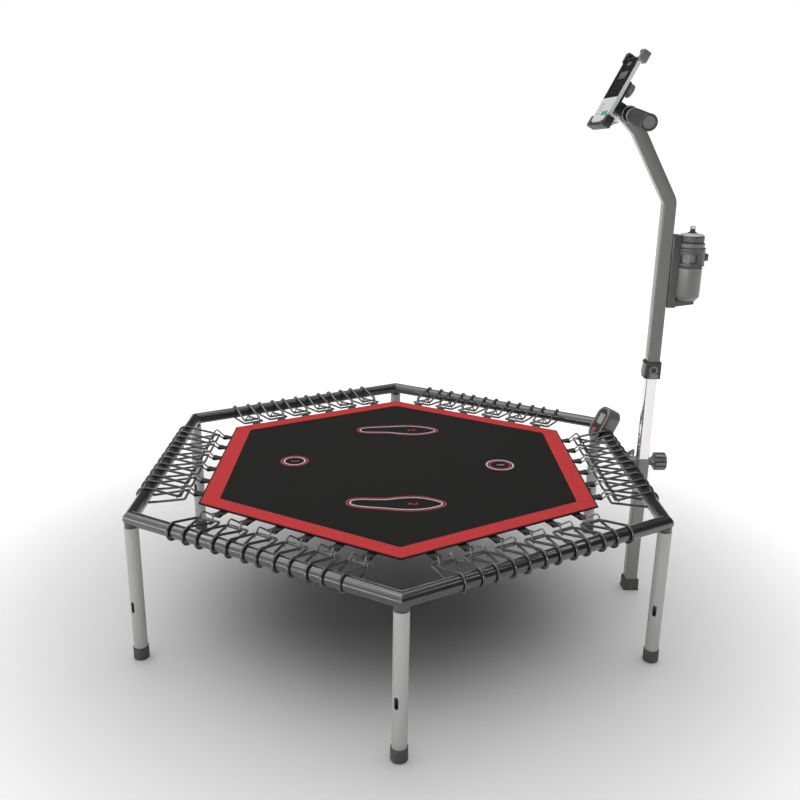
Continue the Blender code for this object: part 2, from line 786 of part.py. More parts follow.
def build_bracket():
    """The saddle between the rim and the upright, with a gusset over it."""
    left = RIM_APOTHEM + BRACKET_START
    right = POST_X - POST_SIDE / 2 - SEAT_GAP
    saddle = box(
        "rim_bracket", (right - left, BRACKET_WIDTH, BRACKET_HEIGHT), ((left + right) / 2, 0.0, RIM_HEIGHT),
    )
    tip = POST_X - COLLAR_SIDE / 2 - GUSSET_CLEAR
    outline = [
        (RIM_APOTHEM, 0.0), (tip, 0.0), (tip, GUSSET_RISE), (tip - GUSSET_TIP, GUSSET_RISE),
        (RIM_APOTHEM, GUSSET_SHOULDER),
    ]
    gusset = slab("gusset", outline, GUSSET_THICKNESS)
    stand = Matrix.Rotation(pi / 2, 4, "X")
    lift = Matrix.Translation((0.0, POST_SIDE / 2 - GUSSET_THICKNESS, RIM_HEIGHT + RIM_TUBE_RADIUS))
    move_mesh(gusset, lift @ stand)
    saddle = join(saddle, gusset)
    saddle = cut(saddle, rail_room(SEAT_GAP, 0.0, 2 * POST_SIDE))
    finish(saddle, POST_PAINT)


def build_inner_tube():
    tube_piece = square_tube(
        "inner_tube", INNER_SIDE, INNER_WALL, POST_CORNER - POST_WALL, INNER_TUBE_BOTTOM, INNER_TUBE_TOP, POST_X
    )
    finish(tube_piece, CHROME, origin=(POST_X, 0.0, INNER_TUBE_BOTTOM))


def ring_of_rods(number, ring_radius, radius, bottom, top):
    """Upright six-sided rods on a circle, to cut the grooves of a knob or wheel."""
    rods = []
    for i in range(number):
        angle = 2 * pi * i / number
        x = ring_radius * cos(angle)
        y = ring_radius * sin(angle)
        rods.append(rod("groove", radius, (x, y, bottom), (x, y, top), sides=6))
    return rods


def build_lock():
    """The clamp screw and its ribbed knob, on the upright's outer face."""
    wall_face = POST_X + POST_SIDE / 2
    tip = POST_X + INNER_SIDE / 2 + SEAT_GAP
    knob_start = wall_face + KNOB_GAP
    knob_end = knob_start + KNOB_CONE + KNOB_LENGTH
    screw = rod(
        "lock_screw", SCREW_RADIUS, (tip, 0.0, KNOB_HEIGHT), (knob_start + SCREW_BITE, 0.0, KNOB_HEIGHT),
        sides=SMALL_SIDES,
    )
    finish(screw, STEEL, origin=(wall_face, 0.0, KNOB_HEIGHT))
    bore = SCREW_RADIUS + SEAT_GAP
    bite = SCREW_BITE + SEAT_GAP
    length = knob_end - knob_start
    inner = KNOB_RADIUS - KNOB_EDGE
    profile = [
        (0.0, 0.0), (inner, 0.0), (KNOB_RADIUS, -KNOB_EDGE), (KNOB_RADIUS, KNOB_EDGE - KNOB_LENGTH),
        (inner, -KNOB_LENGTH), (KNOB_CONE_RADIUS, -length), (bore, -length), (bore, bite - length),
        (0.0, bite - length),
    ]
    knob = turned("lock_knob", profile, sides=2 * KNOB_RIBS)
    groove_start = KNOB_GROOVE_INSET - KNOB_LENGTH
    knob = cut(knob, *ring_of_rods(
        KNOB_RIBS, KNOB_RADIUS + KNOB_GROOVE_OFFSET, KNOB_GROOVE_RADIUS, groove_start, -KNOB_GROOVE_INSET
    ))
    turn = Matrix.Rotation(pi / 2, 4, "Y")
    move_mesh(knob, Matrix.Translation((knob_end, 0.0, KNOB_HEIGHT)) @ turn)
    finish(knob, BLACK_PLASTIC, origin=(wall_face, 0.0, KNOB_HEIGHT))


def post_path(bottom):
    """The post's centre line: up, then leaning towards the user, more so at its top."""
    first = Vector((POST_X, 0.0, FIRST_BEND_HEIGHT))
    lean = Vector((-sin(FIRST_LEAN), 0.0, cos(FIRST_LEAN)))
    second = first + lean * SLANT_LENGTH
    top_lean = Vector((-sin(SECOND_LEAN), 0.0, cos(SECOND_LEAN)))
    end = second + top_lean * TOP_LENGTH
    points = [Vector((POST_X, 0.0, bottom))]
    for corner, before, after in (
        (first, Vector((0, 0, 1)), lean), (second, lean, top_lean),
    ):
        trim = BEND_RADIUS * tan(before.angle(after) / 2)
        start = corner - before * trim
        stop = corner + after * trim
        for i in range(BEND_STEPS + 1):
            t = i / BEND_STEPS
            points.append(start * (1 - t) ** 2 + corner * 2 * t * (1 - t) + stop * t * t)
    points.append(end)
    return points


BAR_CENTER = post_path(0.0)[-1]


def bar_room(middle, half):
    """What a piece on the handlebar leaves open round it."""
    return rod("bar_room", (BAR_RADIUS + SEAT_GAP) / cos(pi / ROUND_SIDES), middle - half, middle + half)


def build_post():
    bottom = COLLAR_BOTTOM + COLLAR_LEDGE + SEAT_GAP
    path = post_path(bottom)
    post = swept_square("upper_post", path, POST_SIDE, POST_CORNER)
    last = (path[-1] - path[-2]).normalized()
    bore_path = [path[0] - Vector((0, 0, POST_SIDE)), *path[1:-1], path[-1] + last * POST_SIDE]
    bore = swept_square("post_bore", bore_path, POST_BORE, POST_CORNER - POST_WALL)
    post = cut(post, bore, bar_room(BAR_CENTER, Vector((0.0, POST_SIDE, 0.0))))
    finish(post, POST_PAINT, origin=(POST_X, 0.0, COLLAR_BOTTOM))


def build_collar():
    middle = COLLAR_BOTTOM + COLLAR_LENGTH / 2
    collar = box(
        "post_collar", (COLLAR_SIDE, COLLAR_SIDE, COLLAR_LENGTH), (POST_X, 0.0, middle),
        rounding=COLLAR_CORNER, upright_edges=True,
    )
    ring_end = -COLLAR_SIDE / 2 - BUTTON_RING_HEIGHT
    ring = rod("button_ring", BUTTON_RING_RADIUS, (POST_X, 0.0, middle), (POST_X, ring_end, middle), sides=16)
    collar = join(collar, ring)
    room = POST_SIDE + 2 * SEAT_GAP
    upper_middle = COLLAR_BOTTOM + COLLAR_LEDGE + COLLAR_LENGTH / 2
    upper = box("post_room", (room, room, COLLAR_LENGTH), (POST_X, 0.0, upper_middle))
    slide = INNER_SIDE + 2 * SLIDE_GAP
    lower = box("tube_room", (slide, slide, 2 * COLLAR_LENGTH), (POST_X, 0.0, COLLAR_BOTTOM))
    hole_start = (POST_X, -POST_SIDE / 2, middle)
    hole = rod("button_hole", BUTTON_RADIUS + SLIDE_GAP, hole_start, (POST_X, -COLLAR_SIDE, middle), sides=16)
    collar = cut(collar, upper, lower, hole)
    finish(collar, GREY_PLASTIC, origin=(POST_X, 0.0, COLLAR_BOTTOM))
    start = (POST_X, ring_end - BUTTON_RISE, middle)
    end = (POST_X, -POST_SIDE / 2 - SEAT_GAP - BUTTON_TRAVEL, middle)
    button = rod("snap_button", BUTTON_RADIUS, start, end, sides=16)
    finish(button, BLACK_PLASTIC, origin=(POST_X, -COLLAR_SIDE / 2, middle))


# Handlebar

def bar_end(sign):
    return BAR_CENTER + Vector((-BAR_SWEEP, sign * BAR_HALF_WIDTH, -BAR_DROOP))


def bar_knee(sign):
    return BAR_CENTER + Vector((0.0, sign * BAR_STRAIGHT, 0.0))


def build_bar():
    points = []
    for sign in (-1, 1):
        knee = bar_knee(sign)
        way = (bar_end(sign) - knee).normalized()
        straight = knee - Vector((0.0, sign * BAR_KNEE, 0.0))
        arm = [bar_end(sign) - way * GRIP_CAP_LENGTH, knee + way * BAR_KNEE, straight]
        points += arm if sign < 0 else list(reversed(arm))
    bar = tube("t_bar", points, BAR_RADIUS, 6)
    for sign in (-1, 1):
        way = (bar_end(sign) - bar_knee(sign)).normalized()
        tip = bar_end(sign) + way * GRIP_CAP_SKIN
        bore = rod("plug_room", BAR_RADIUS - BAR_WALL, tip - way * 2 * GRIP_CAP_STEM, tip, sides=16)
        bar = cut(bar, bore)
    finish(bar, POST_PAINT)
    for sign, name in ((-1, "front"), (1, "back")):
        build_grip(sign, name)


def build_grip(sign, name):
    way = (bar_end(sign) - bar_knee(sign)).normalized()
    tip = bar_end(sign)
    grip_end = tip - way * (GRIP_CAP_LENGTH + SEAT_GAP)
    grip_start = grip_end - way * GRIP_LENGTH
    grip = rod("grip_" + name, GRIP_RADIUS, grip_start, grip_end)
    grip = cut(grip, bar_room((grip_start + grip_end) / 2, way * GRIP_LENGTH))
    finish(grip, FOAM)
    plate_start = tip - way * (GRIP_CAP_LENGTH - SEAT_GAP)
    cap = rod("grip_cap_" + name, GRIP_RADIUS, plate_start, tip)
    stem_radius = BAR_RADIUS - BAR_WALL - SEAT_GAP
    stem = rod("cap_stem", stem_radius, plate_start - way * GRIP_CAP_STEM, tip - way * GRIP_CAP_SKIN, sides=16)
    cap = join(cap, stem)
    finish(cap, BLACK_PLASTIC)


# Bottle and cage

def bottle_piece(name, profile, material, height):
    piece = turned(name, profile, sides=24)
    move_mesh(piece, Matrix.Translation((BOTTLE_X, 0.0, 0.0)))
    return finish(piece, material, origin=(BOTTLE_X, 0.0, height))


def build_bottle():
    wall = BOTTLE_WALL
    floor = BOTTLE_BOTTOM + wall
    base_top = BOTTLE_BOTTOM + BOTTLE_BASE_HEIGHT
    side_top = BOTTLE_SHOULDER - BOTTLE_SHOULDER_DROP
    neck = BOTTLE_NECK_RADIUS
    body = [
        (0.0, floor), (BOTTLE_BASE_RADIUS - wall, floor), (BOTTLE_RADIUS - wall, base_top),
        (BOTTLE_RADIUS - wall, side_top - wall), (neck - wall, BOTTLE_SHOULDER - wall),
        (neck - wall, BOTTLE_NECK_TOP), (neck, BOTTLE_NECK_TOP), (neck, BOTTLE_SHOULDER), (BOTTLE_RADIUS, side_top),
        (BOTTLE_RADIUS, base_top), (BOTTLE_BASE_RADIUS, BOTTLE_BOTTOM), (0.0, BOTTLE_BOTTOM),
    ]
    bottle_piece("bottle_body", body, BOTTLE_PLASTIC, BOTTLE_BOTTOM)
    inner = BOTTLE_NECK_RADIUS + SEAT_GAP
    ceiling = BOTTLE_NECK_TOP + SEAT_GAP
    band_top = CAP_BOTTOM + CAP_BAND
    dome_top = band_top + CAP_DOME
    cap = [
        (0.0, CAP_SPOUT_TOP), (CAP_SPOUT_RADIUS, CAP_SPOUT_TOP), (CAP_SPOUT_RADIUS, dome_top),
        (0.6 * CAP_RADIUS, dome_top - CAP_EDGE_DROP / 2), (0.9 * CAP_RADIUS, band_top + CAP_EDGE_DROP),
        (CAP_RADIUS, band_top), (CAP_RADIUS, CAP_BOTTOM), (inner, CAP_BOTTOM), (inner, ceiling), (0.0, ceiling),
    ]
    bottle_piece("bottle_cap", cap, CAP_PLASTIC, CAP_BOTTOM)
    spout_room = CAP_SPOUT_RADIUS + SEAT_GAP
    roof = CAP_SPOUT_TOP + SEAT_GAP
    lip = NOZZLE_LIP
    nozzle = [
        (0.0, NOZZLE_TOP), (NOZZLE_RADIUS, NOZZLE_TOP - lip), (NOZZLE_RADIUS, NOZZLE_TOP - 4 * lip),
        (NOZZLE_RADIUS - lip, NOZZLE_TOP - 5 * lip), (NOZZLE_RADIUS - lip / 2, NOZZLE_BOTTOM),
        (spout_room, NOZZLE_BOTTOM), (spout_room, roof), (0.0, roof),
    ]
    bottle_piece("bottle_nozzle", nozzle, GREY_PLASTIC, NOZZLE_BOTTOM)


def build_cage():
    face = POST_X + POST_SIDE / 2 + SEAT_GAP
    height = CAGE_BACK_TOP - CAGE_BACK_BOTTOM
    cage = box(
        "bottle_cage", (CAGE_BACK_THICKNESS, CAGE_BACK_WIDTH, height),
        (face + CAGE_BACK_THICKNESS / 2, 0.0, CAGE_BACK_BOTTOM + height / 2), rounding=CAGE_EDGE, segments=1,
    )
    band_radius = BOTTLE_RADIUS + CAGE_CLEAR + CAGE_BAND_WALL
    band_top = CAGE_BAND_BOTTOM + CAGE_BAND_HEIGHT
    band = rod("band", band_radius, (BOTTLE_X, 0.0, CAGE_BAND_BOTTOM), (BOTTLE_X, 0.0, band_top), sides=24)
    lug_start = BOTTLE_X + BOTTLE_RADIUS * CAGE_LUG_ROOT
    lug_end = BOTTLE_X + band_radius + CAGE_LUG_LENGTH
    lug = box(
        "lug", (lug_end - lug_start, CAGE_LUG_WIDTH, CAGE_LUG_HEIGHT),
        ((lug_end + lug_start) / 2, 0.0, CAGE_LUG_MIDDLE), rounding=CAGE_EDGE, segments=1,
    )
    lip_end = BOTTLE_X + CAGE_LIP_END
    lip_top = BOTTLE_BOTTOM - SEAT_GAP
    lip_start = face + CAGE_BACK_THICKNESS / 2
    outline = [
        (lip_start, CAGE_BACK_BOTTOM + CAGE_EDGE), (lip_end, CAGE_BACK_BOTTOM + CAGE_LIP_RISE),
        (lip_end, lip_top), (lip_start, lip_top),
    ]
    lip = slab("lip", outline, CAGE_BACK_WIDTH - 2 * CAGE_LIP_INSET)
    move_mesh(lip, Matrix.Rotation(pi / 2, 4, "X"))
    cage = join(cage, band, lug, lip)
    room_radius = (BOTTLE_RADIUS + CAGE_CLEAR) / cos(pi / 24)
    room_top = CAGE_BACK_TOP + BOTTLE_RADIUS
    room = rod("bottle_room", room_radius, (BOTTLE_X, 0.0, lip_top), (BOTTLE_X, 0.0, room_top), sides=24)
    window = box(
        "window", (CAGE_WINDOW_WIDTH, BOTTLE_RADIUS * 2, CAGE_WINDOW_HEIGHT),
        (BOTTLE_X + CAGE_WINDOW_SHIFT, -BOTTLE_RADIUS, CAGE_BAND_BOTTOM + CAGE_BAND_HEIGHT / 2),
    )
    cage = cut(cage, room, window)
    finish(cage, BLACK_PLASTIC)


# Phone holder, built flat: x runs across the phone, y along it and z out of its screen

def holder_frame():
    """The phone's own axes, with the middle of its screen as the origin."""
    turn = Matrix.Rotation(PHONE_YAW, 4, "Z") @ Matrix.Rotation(PHONE_TILT, 4, "Y")
    axes = Matrix(((0, 0, -1), (-1, 0, 0), (0, 1, 0))).to_4x4()
    center = BAR_CENTER + PHONE_OFFSET
    return Matrix.Translation(center) @ turn @ axes @ Matrix.Rotation(PHONE_ROLL, 4, "Z")


HOLDER = holder_frame()
PHONE_BACK = -PHONE_THICKNESS - SEAT_GAP
CRADLE_BACK = PHONE_BACK - CRADLE_THICKNESS


def in_holder(thing, material, origin):
    """Carry a piece that was built flat to the phone's place."""
    origin = Vector(origin)
    thing.data.transform(Matrix.Translation(-origin))
    finish(thing, material)
    thing.matrix_world = Matrix.Translation(HOLDER @ origin) @ HOLDER.to_3x3().to_4x4()
    return thing


def claw_pair(name, sign, end, room_end):
    """Two corner claws on a slider, at the top (1) or the bottom (-1) of the phone."""
    outer_x = PHONE_WIDTH / 2 + SEAT_GAP + CLAW_WALL
    back = PHONE_BACK - CLAW_DEPTH
    middle_z = (CLAW_LIP + back) / 2
    depth = CLAW_LIP - back
    bodies = []
    for side in (-1, 1):
        bodies.append(box(
            "claw", (CLAW_REACH, CLAW_LENGTH, depth),
            (side * (outer_x - CLAW_REACH / 2), sign * (end - CLAW_LENGTH / 2), middle_z),
            rounding=CLAW_EDGE, segments=1,
        ))
    arm_skin = CLAW_ARM_THICKNESS + CLAW_BRIDGE_SKIN
    if sign < 0:
        bridge_depth = depth * LOWER_BRIDGE_SHARE
        bridge_length = LOWER_CLAW_END * LOWER_BRIDGE_SHARE
        bridge_middle = middle_z
    else:
        bridge_depth = arm_skin
        bridge_length = CLAW_LENGTH * UPPER_BRIDGE_SHARE
        bridge_middle = PHONE_BACK - bridge_depth / 2
    bridge = box(
        name, (2 * outer_x - CLAW_REACH, bridge_length, bridge_depth),
        (0.0, sign * (end - bridge_length / 2 - CLAW_BRIDGE_INSET), bridge_middle),
    )
    arm_x = -sign * (CLAW_ARM_WIDTH + CLAW_ARM_GAP) / 2
    arm_start = end - bridge_length / 2
    arm_length = arm_start + CLAW_ARM_END
    arm = box(
        "arm", (CLAW_ARM_WIDTH, arm_length, CLAW_ARM_THICKNESS),
        (arm_x, sign * (arm_start - arm_length / 2), PHONE_BACK - CLAW_ARM_THICKNESS / 2),
    )
    claws = join(bridge, arm, *bodies)
    room_width = PHONE_WIDTH + 2 * SEAT_GAP
    room_depth = PHONE_THICKNESS + 2 * SEAT_GAP
    phone_room = box("phone_room", (room_width, 2 * room_end, room_depth), (0.0, 0.0, -PHONE_THICKNESS / 2))
    window_width = PHONE_WIDTH - 2 * CLAW_OVERHANG
    window_length = 2 * (room_end - CLAW_OVERHANG)
    screen_room = box(
        "screen_room", (window_width, window_length, 2 * PHONE_THICKNESS),
        (0.0, 0.0, PHONE_THICKNESS - SEAT_GAP / 3),
    )
    back_room = box(
        "back_room", (CRADLE_WIDTH + 2 * CLAW_LIP, 2 * end - CLAW_LENGTH, CLAW_DEPTH),
        (0.0, 0.0, PHONE_BACK - arm_skin - CLAW_DEPTH / 2),
    )
    return cut(claws, phone_room, screen_room, back_room)


def build_holder():
    phone = box(
        "phone", (PHONE_WIDTH, PHONE_LENGTH, PHONE_THICKNESS), (0.0, 0.0, -PHONE_THICKNESS / 2),
        rounding=PHONE_CORNER, segments=3, upright_edges=True,
    )
    in_holder(phone, PHONE_GLASS, (0, 0, 0))
    half = PHONE_LENGTH / 2 + SEAT_GAP
    upper = claw_pair("cradle_upper_claws", 1, half + UPPER_CLAW_ROOM + CLAW_WALL, half + UPPER_CLAW_ROOM)
    in_holder(upper, BLACK_PLASTIC, (0, half, 0))
    lower = claw_pair("cradle_lower_claws", -1, half + LOWER_CLAW_END, half)
    in_holder(lower, BLACK_PLASTIC, (0, -half, 0))
    length = CRADLE_TOP - CRADLE_BOTTOM
    middle = (CRADLE_TOP + CRADLE_BOTTOM) / 2
    cradle = box(
        "phone_cradle", (CRADLE_WIDTH, length, CRADLE_THICKNESS), (0.0, middle, (PHONE_BACK + CRADLE_BACK) / 2),
        rounding=CRADLE_EDGE, segments=1, upright_edges=True,
    )
    channel_width = 2 * CLAW_ARM_WIDTH + CLAW_ARM_GAP + 2 * SLIDE_GAP
    channel_floor = PHONE_BACK - CLAW_ARM_THICKNESS - SLIDE_GAP
    channel_depth = 2 * (PHONE_BACK - channel_floor)
    channel = box("arm_channel", (channel_width, 2 * length, channel_depth), (0.0, middle, PHONE_BACK))
    hole_radius = WHEEL_STEM_RADIUS + SLIDE_GAP
    hole_start = (0.0, WHEEL_OFFSET, PHONE_BACK)
    hole_end = (0.0, WHEEL_OFFSET, CRADLE_BACK - CRADLE_THICKNESS)
    stem_hole = rod("stem_hole", hole_radius, hole_start, hole_end, sides=16)
    cradle = cut(cradle, channel, stem_hole)
    swivel = Vector((0.0, SWIVEL_OFFSET, CRADLE_BACK))
    in_holder(cradle, BLACK_PLASTIC, swivel)
    build_wheel(channel_floor)
    build_bar_clamp()


def build_wheel(channel_floor):
    stem_top = channel_floor - WHEEL_GAP
    disc_top = CRADLE_BACK - WHEEL_GAP
    disc_bottom = disc_top - WHEEL_THICKNESS
    edge = WHEEL_EDGE
    profile = [
        (0.0, stem_top), (WHEEL_STEM_RADIUS, stem_top), (WHEEL_STEM_RADIUS, disc_top),
        (WHEEL_RADIUS - edge, disc_top), (WHEEL_RADIUS, disc_top - edge), (WHEEL_RADIUS, disc_bottom + edge),
        (WHEEL_RADIUS - edge, disc_bottom), (0.0, disc_bottom),
    ]
    wheel = turned("claw_wheel", profile, sides=2 * WHEEL_RIBS)
    wheel = cut(wheel, *ring_of_rods(
        WHEEL_RIBS, WHEEL_RADIUS + WHEEL_NOTCH_OFFSET, edge, disc_bottom - edge / 2, disc_top + edge / 2
    ))
    move_mesh(wheel, Matrix.Translation((0.0, WHEEL_OFFSET, 0.0)))
    in_holder(wheel, BLACK_PLASTIC, (0.0, WHEEL_OFFSET, disc_top))


def build_bar_clamp():
    """The ring round the bar with the block that carries the cradle."""
    ring_radius = BAR_RADIUS + CLAMP_WALL
    middle = Vector((BAR_CENTER.x, CLAMP_Y, BAR_CENTER.z))
    half = Vector((0.0, CLAMP_WIDTH / 2, 0.0))
    clamp = rod("phone_bar_clamp", ring_radius, middle - half, middle + half)
    pad_top = CRADLE_BACK - SEAT_GAP
    block = box(
        "block", (CLAMP_BLOCK_WIDTH, CLAMP_BLOCK_LENGTH, CLAMP_BLOCK_DEPTH),
        (0.0, SWIVEL_OFFSET, pad_top - CLAMP_BLOCK_DEPTH / 2), rounding=CLAMP_EDGE, segments=1,
    )
    move_mesh(block, HOLDER)
    clamp = join(clamp, block)
    clamp = cut(clamp, bar_room(middle, 3 * half))
    finish(clamp, BLACK_PLASTIC, origin=middle)


# Jump counter, built flat: x runs across its face, y up it and z out of it

def counter_frame():
    out = Vector((
        cos(COUNTER_TILT) * cos(COUNTER_AZIMUTH), cos(COUNTER_TILT) * sin(COUNTER_AZIMUTH), sin(COUNTER_TILT),
    ))
    across = Vector((-sin(COUNTER_AZIMUTH), cos(COUNTER_AZIMUTH), 0.0))
    up = out.cross(across)
    axes = Matrix((across, up, out)).transposed().to_4x4()
    return Matrix.Translation(COUNTER_CENTER) @ axes


def build_counter():
    frame = counter_frame()
    axis = (RIM_APOTHEM, COUNTER_STRAP_Y, RIM_HEIGHT)
    outline = stadium(COUNTER_WIDTH, COUNTER_HEIGHT, 8)
    case = slab("counter_case", outline, COUNTER_DEPTH - COUNTER_FACE - SEAT_GAP)
    middle = -(COUNTER_DEPTH + COUNTER_FACE + SEAT_GAP) / 2
    move_mesh(case, frame @ Matrix.Translation((0, 0, middle)))
    case = cut(case, rail_room(COUNTER_STRAP_WALL + 2 * SEAT_GAP, COUNTER_STRAP_Y, 2 * COUNTER_HEIGHT))
    finish(case, GREY_PLASTIC, origin=axis)
    face = slab("counter_face", outline, COUNTER_FACE)
    move_mesh(face, Matrix.Translation((0, 0, -COUNTER_FACE / 2)))
    screen = box(
        "screen_room", (*COUNTER_SCREEN, 2 * COUNTER_SCREEN_DEPTH), (*COUNTER_SCREEN_PLACE, 0.0)
    )
    bx, by = COUNTER_BUTTON_PLACE
    hole_radius = COUNTER_BUTTON_RADIUS + SLIDE_GAP
    hole = rod("button_room", hole_radius, (bx, by, -2 * COUNTER_FACE), (bx, by, COUNTER_FACE), sides=16)
    face = cut(face, screen, hole)
    move_mesh(face, frame)
    finish(face, BLACK_PLASTIC, origin=axis)
    button = rod(
        "counter_button", COUNTER_BUTTON_RADIUS, (bx, by, COUNTER_BUTTON_TRAVEL - COUNTER_FACE),
        (bx, by, COUNTER_BUTTON_RISE), sides=16,
    )
    move_mesh(button, frame)
    finish(button, RED_BUTTON, origin=frame @ Vector((bx, by, 0.0)))
    strap_outer = RIM_TUBE_RADIUS + SEAT_GAP + COUNTER_STRAP_WALL
    strap = rail_rod("counter_strap", strap_outer, COUNTER_STRAP_Y, COUNTER_STRAP_WIDTH)
    strap = cut(strap, rail_room(SEAT_GAP, COUNTER_STRAP_Y, 2 * COUNTER_STRAP_WIDTH))
    finish(strap, WEBBING, origin=axis)


def center_on_box():
    """Hang every piece on one empty that centres the whole box on x = 0."""
    outermost_left = RIM_APOTHEM + cord_reach()
    outermost_right = BOTTLE_X + BOTTLE_RADIUS + CAGE_CLEAR + CAGE_BAND_WALL + CAGE_LUG_LENGTH
    middle = bpy.data.objects.new("box_middle", None)
    PARTS.objects.link(middle)
    middle.location = ((outermost_left - outermost_right) / 2, 0.0, 0.0)
    for piece in PARTS.objects:
        if piece is not middle:
            piece.parent = middle


def cord_reach():
    """How far a cord stands out from a rim tube's axis."""
    return max(point[0] for point in bungee_points()) - RIM_APOTHEM + CORD_RADIUS


build_rim()
build_legs()
build_mat()
build_suspension()
build_upright()
build_bracket()
build_inner_tube()
build_lock()
build_post()
build_collar()
build_bar()
build_bottle()
build_cage()
build_holder()
build_counter()
center_on_box()
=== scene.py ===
"""Fitness trampoline with handlebar, in detail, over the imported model.

Shapes are made about the middle of the mat, in metres, and PLACE then carries each to the
model's frame. +X is the handlebar's side, and the person on the mat looks along +X.
"""

import json
from math import acos, atan2, cos, pi, radians, sin, tan

import bmesh
import bpy
from mathutils import Matrix, Vector

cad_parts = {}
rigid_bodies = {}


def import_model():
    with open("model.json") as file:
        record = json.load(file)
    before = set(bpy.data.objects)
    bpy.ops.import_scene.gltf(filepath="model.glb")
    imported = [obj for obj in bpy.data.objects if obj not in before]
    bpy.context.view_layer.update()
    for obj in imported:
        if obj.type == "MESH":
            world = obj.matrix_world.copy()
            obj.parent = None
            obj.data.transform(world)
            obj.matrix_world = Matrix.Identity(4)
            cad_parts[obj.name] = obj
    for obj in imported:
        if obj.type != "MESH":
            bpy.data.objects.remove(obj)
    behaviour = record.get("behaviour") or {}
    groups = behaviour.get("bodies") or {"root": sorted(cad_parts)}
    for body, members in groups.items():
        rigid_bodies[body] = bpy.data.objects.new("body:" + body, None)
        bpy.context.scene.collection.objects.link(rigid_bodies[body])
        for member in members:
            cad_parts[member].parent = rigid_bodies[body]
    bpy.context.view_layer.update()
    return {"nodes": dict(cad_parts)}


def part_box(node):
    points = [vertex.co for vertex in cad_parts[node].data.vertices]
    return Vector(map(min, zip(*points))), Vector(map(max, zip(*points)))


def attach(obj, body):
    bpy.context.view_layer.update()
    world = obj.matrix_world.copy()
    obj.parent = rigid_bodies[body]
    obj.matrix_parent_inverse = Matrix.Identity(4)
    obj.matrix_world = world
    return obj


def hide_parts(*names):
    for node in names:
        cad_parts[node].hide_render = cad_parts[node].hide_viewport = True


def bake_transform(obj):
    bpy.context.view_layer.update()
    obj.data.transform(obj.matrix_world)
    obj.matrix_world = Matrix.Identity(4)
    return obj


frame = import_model()

MAT_LOW, MAT_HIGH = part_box("mat_fabric")
MIDDLE_X = (MAT_LOW.x + MAT_HIGH.x) / 2
PLACE = Matrix.Translation((MIDDLE_X, 0, 0))

SIDES = ("right", "back_right", "back_left", "left", "front_left", "front_right")
CORNERS = ("front_right", "back_right", "back", "back_left", "front_left", "front")

RIM_CORNER = 0.630
RIM_APOTHEM = RIM_CORNER * cos(pi / 6)
RIM_Z = 0.3235
TUBE = 0.0145
LEG_TOP = 0.3048
MAT_CORNER = 0.489
MAT_APOTHEM = MAT_CORNER * cos(pi / 6)
MAT_TOP = 0.3255
MAT_UNDER = MAT_TOP - 0.0021
BORDER_TOP = 0.3270
PITCH = 0.0722
CORD = 0.00275
CORD_GAP = 0.0003
WIRE = 0.0018
POST_X = 0.5821
POST_SIDE = 0.028
POST_BORE = 0.025
SLEEVE_LOW = 0.5435
SLEEVE_FRONT = -0.0165
BUTTON_Z = 0.5635
KNOB_Z = 0.3357
BAR_RADIUS = 0.0125
GRIP_LENGTH = 0.1300
BOTTLE_X = 0.6414
CAGE_INNER = 0.0301
PHONE_HALF = 0.07405
CLAW_OUTER = 0.04055
COUNTER_FACE = (0.0526, 0.0918)

WEAVE = 0.0024
BORDER_INNER = 0.3819
BORDER_OUTER = 0.4198
SEWN_ROWS = (0.3850, 0.3925, 0.4115, 0.4180)
THREAD_PITCH = 0.0048
INK_Z = MAT_TOP + 0.00012
STRAP_Y = 0.238
SHARP_ANGLE = radians(35)


# Camera

CAMERA_SPOT = (-0.0321115, -1.9595445, 1.0954859)
CAMERA_WAY = (0.01689016, 0.95414684, -0.29886207)
CAMERA_ROLL = 0.016
CAMERA_LENS = 39.75


def aim_camera():
    forward = Vector(CAMERA_WAY)
    level = forward.cross(Vector((0, 0, 1))).normalized()
    above = level.cross(forward)
    across = level * cos(CAMERA_ROLL) + above * sin(CAMERA_ROLL)
    upward = above * cos(CAMERA_ROLL) - level * sin(CAMERA_ROLL)
    data = bpy.data.cameras.new("camera")
    data.sensor_width = 36
    data.lens = CAMERA_LENS
    data.clip_end = 200
    camera = bpy.data.objects.new("camera", data)
    bpy.context.scene.collection.objects.link(camera)
    turn = Matrix((across, upward, -forward)).transposed().to_4x4()
    camera.matrix_world = PLACE @ Matrix.Translation(CAMERA_SPOT) @ turn
    bpy.context.scene.camera = camera


aim_camera()


# Shapes

def closed(shape):
    """Weld doubled points and turn every face outwards."""
    bmesh.ops.remove_doubles(shape, verts=shape.verts, dist=1e-6)
    bmesh.ops.recalc_face_normals(shape, faces=shape.faces)
    return shape


def moved(shape, matrix):
    bmesh.ops.transform(shape, matrix=matrix, verts=shape.verts)
    return shape


def shifted(shape, x, y, z):
    return moved(shape, Matrix.Translation((x, y, z)))


def stood_up(shape, x, y):
    """Turn a flat shape to stand in the x-z plane, facing -y."""
    return moved(shape, Matrix.Translation((x, y, 0)) @ Matrix.Rotation(pi / 2, 4, "X"))


def as_mesh(shape):
    mesh = bpy.data.meshes.new("part")
    shape.to_mesh(mesh)
    shape.free()
    return mesh


def joined(*shapes):
    whole = shapes[0]
    for other in shapes[1:]:
        mesh = as_mesh(other)
        whole.from_mesh(mesh)
        bpy.data.meshes.remove(mesh)
    return whole


def repeated(shape, places):
    mesh = as_mesh(shape)
    whole = bmesh.new()
    for place in places:
        first = len(whole.verts)
        whole.from_mesh(mesh)
        whole.verts.ensure_lookup_table()
        bmesh.ops.transform(whole, matrix=place, verts=whole.verts[first:])
    bpy.data.meshes.remove(mesh)
    return whole


def new_points(made):
    return [item for item in made["geom"] if isinstance(item, bmesh.types.BMVert)]


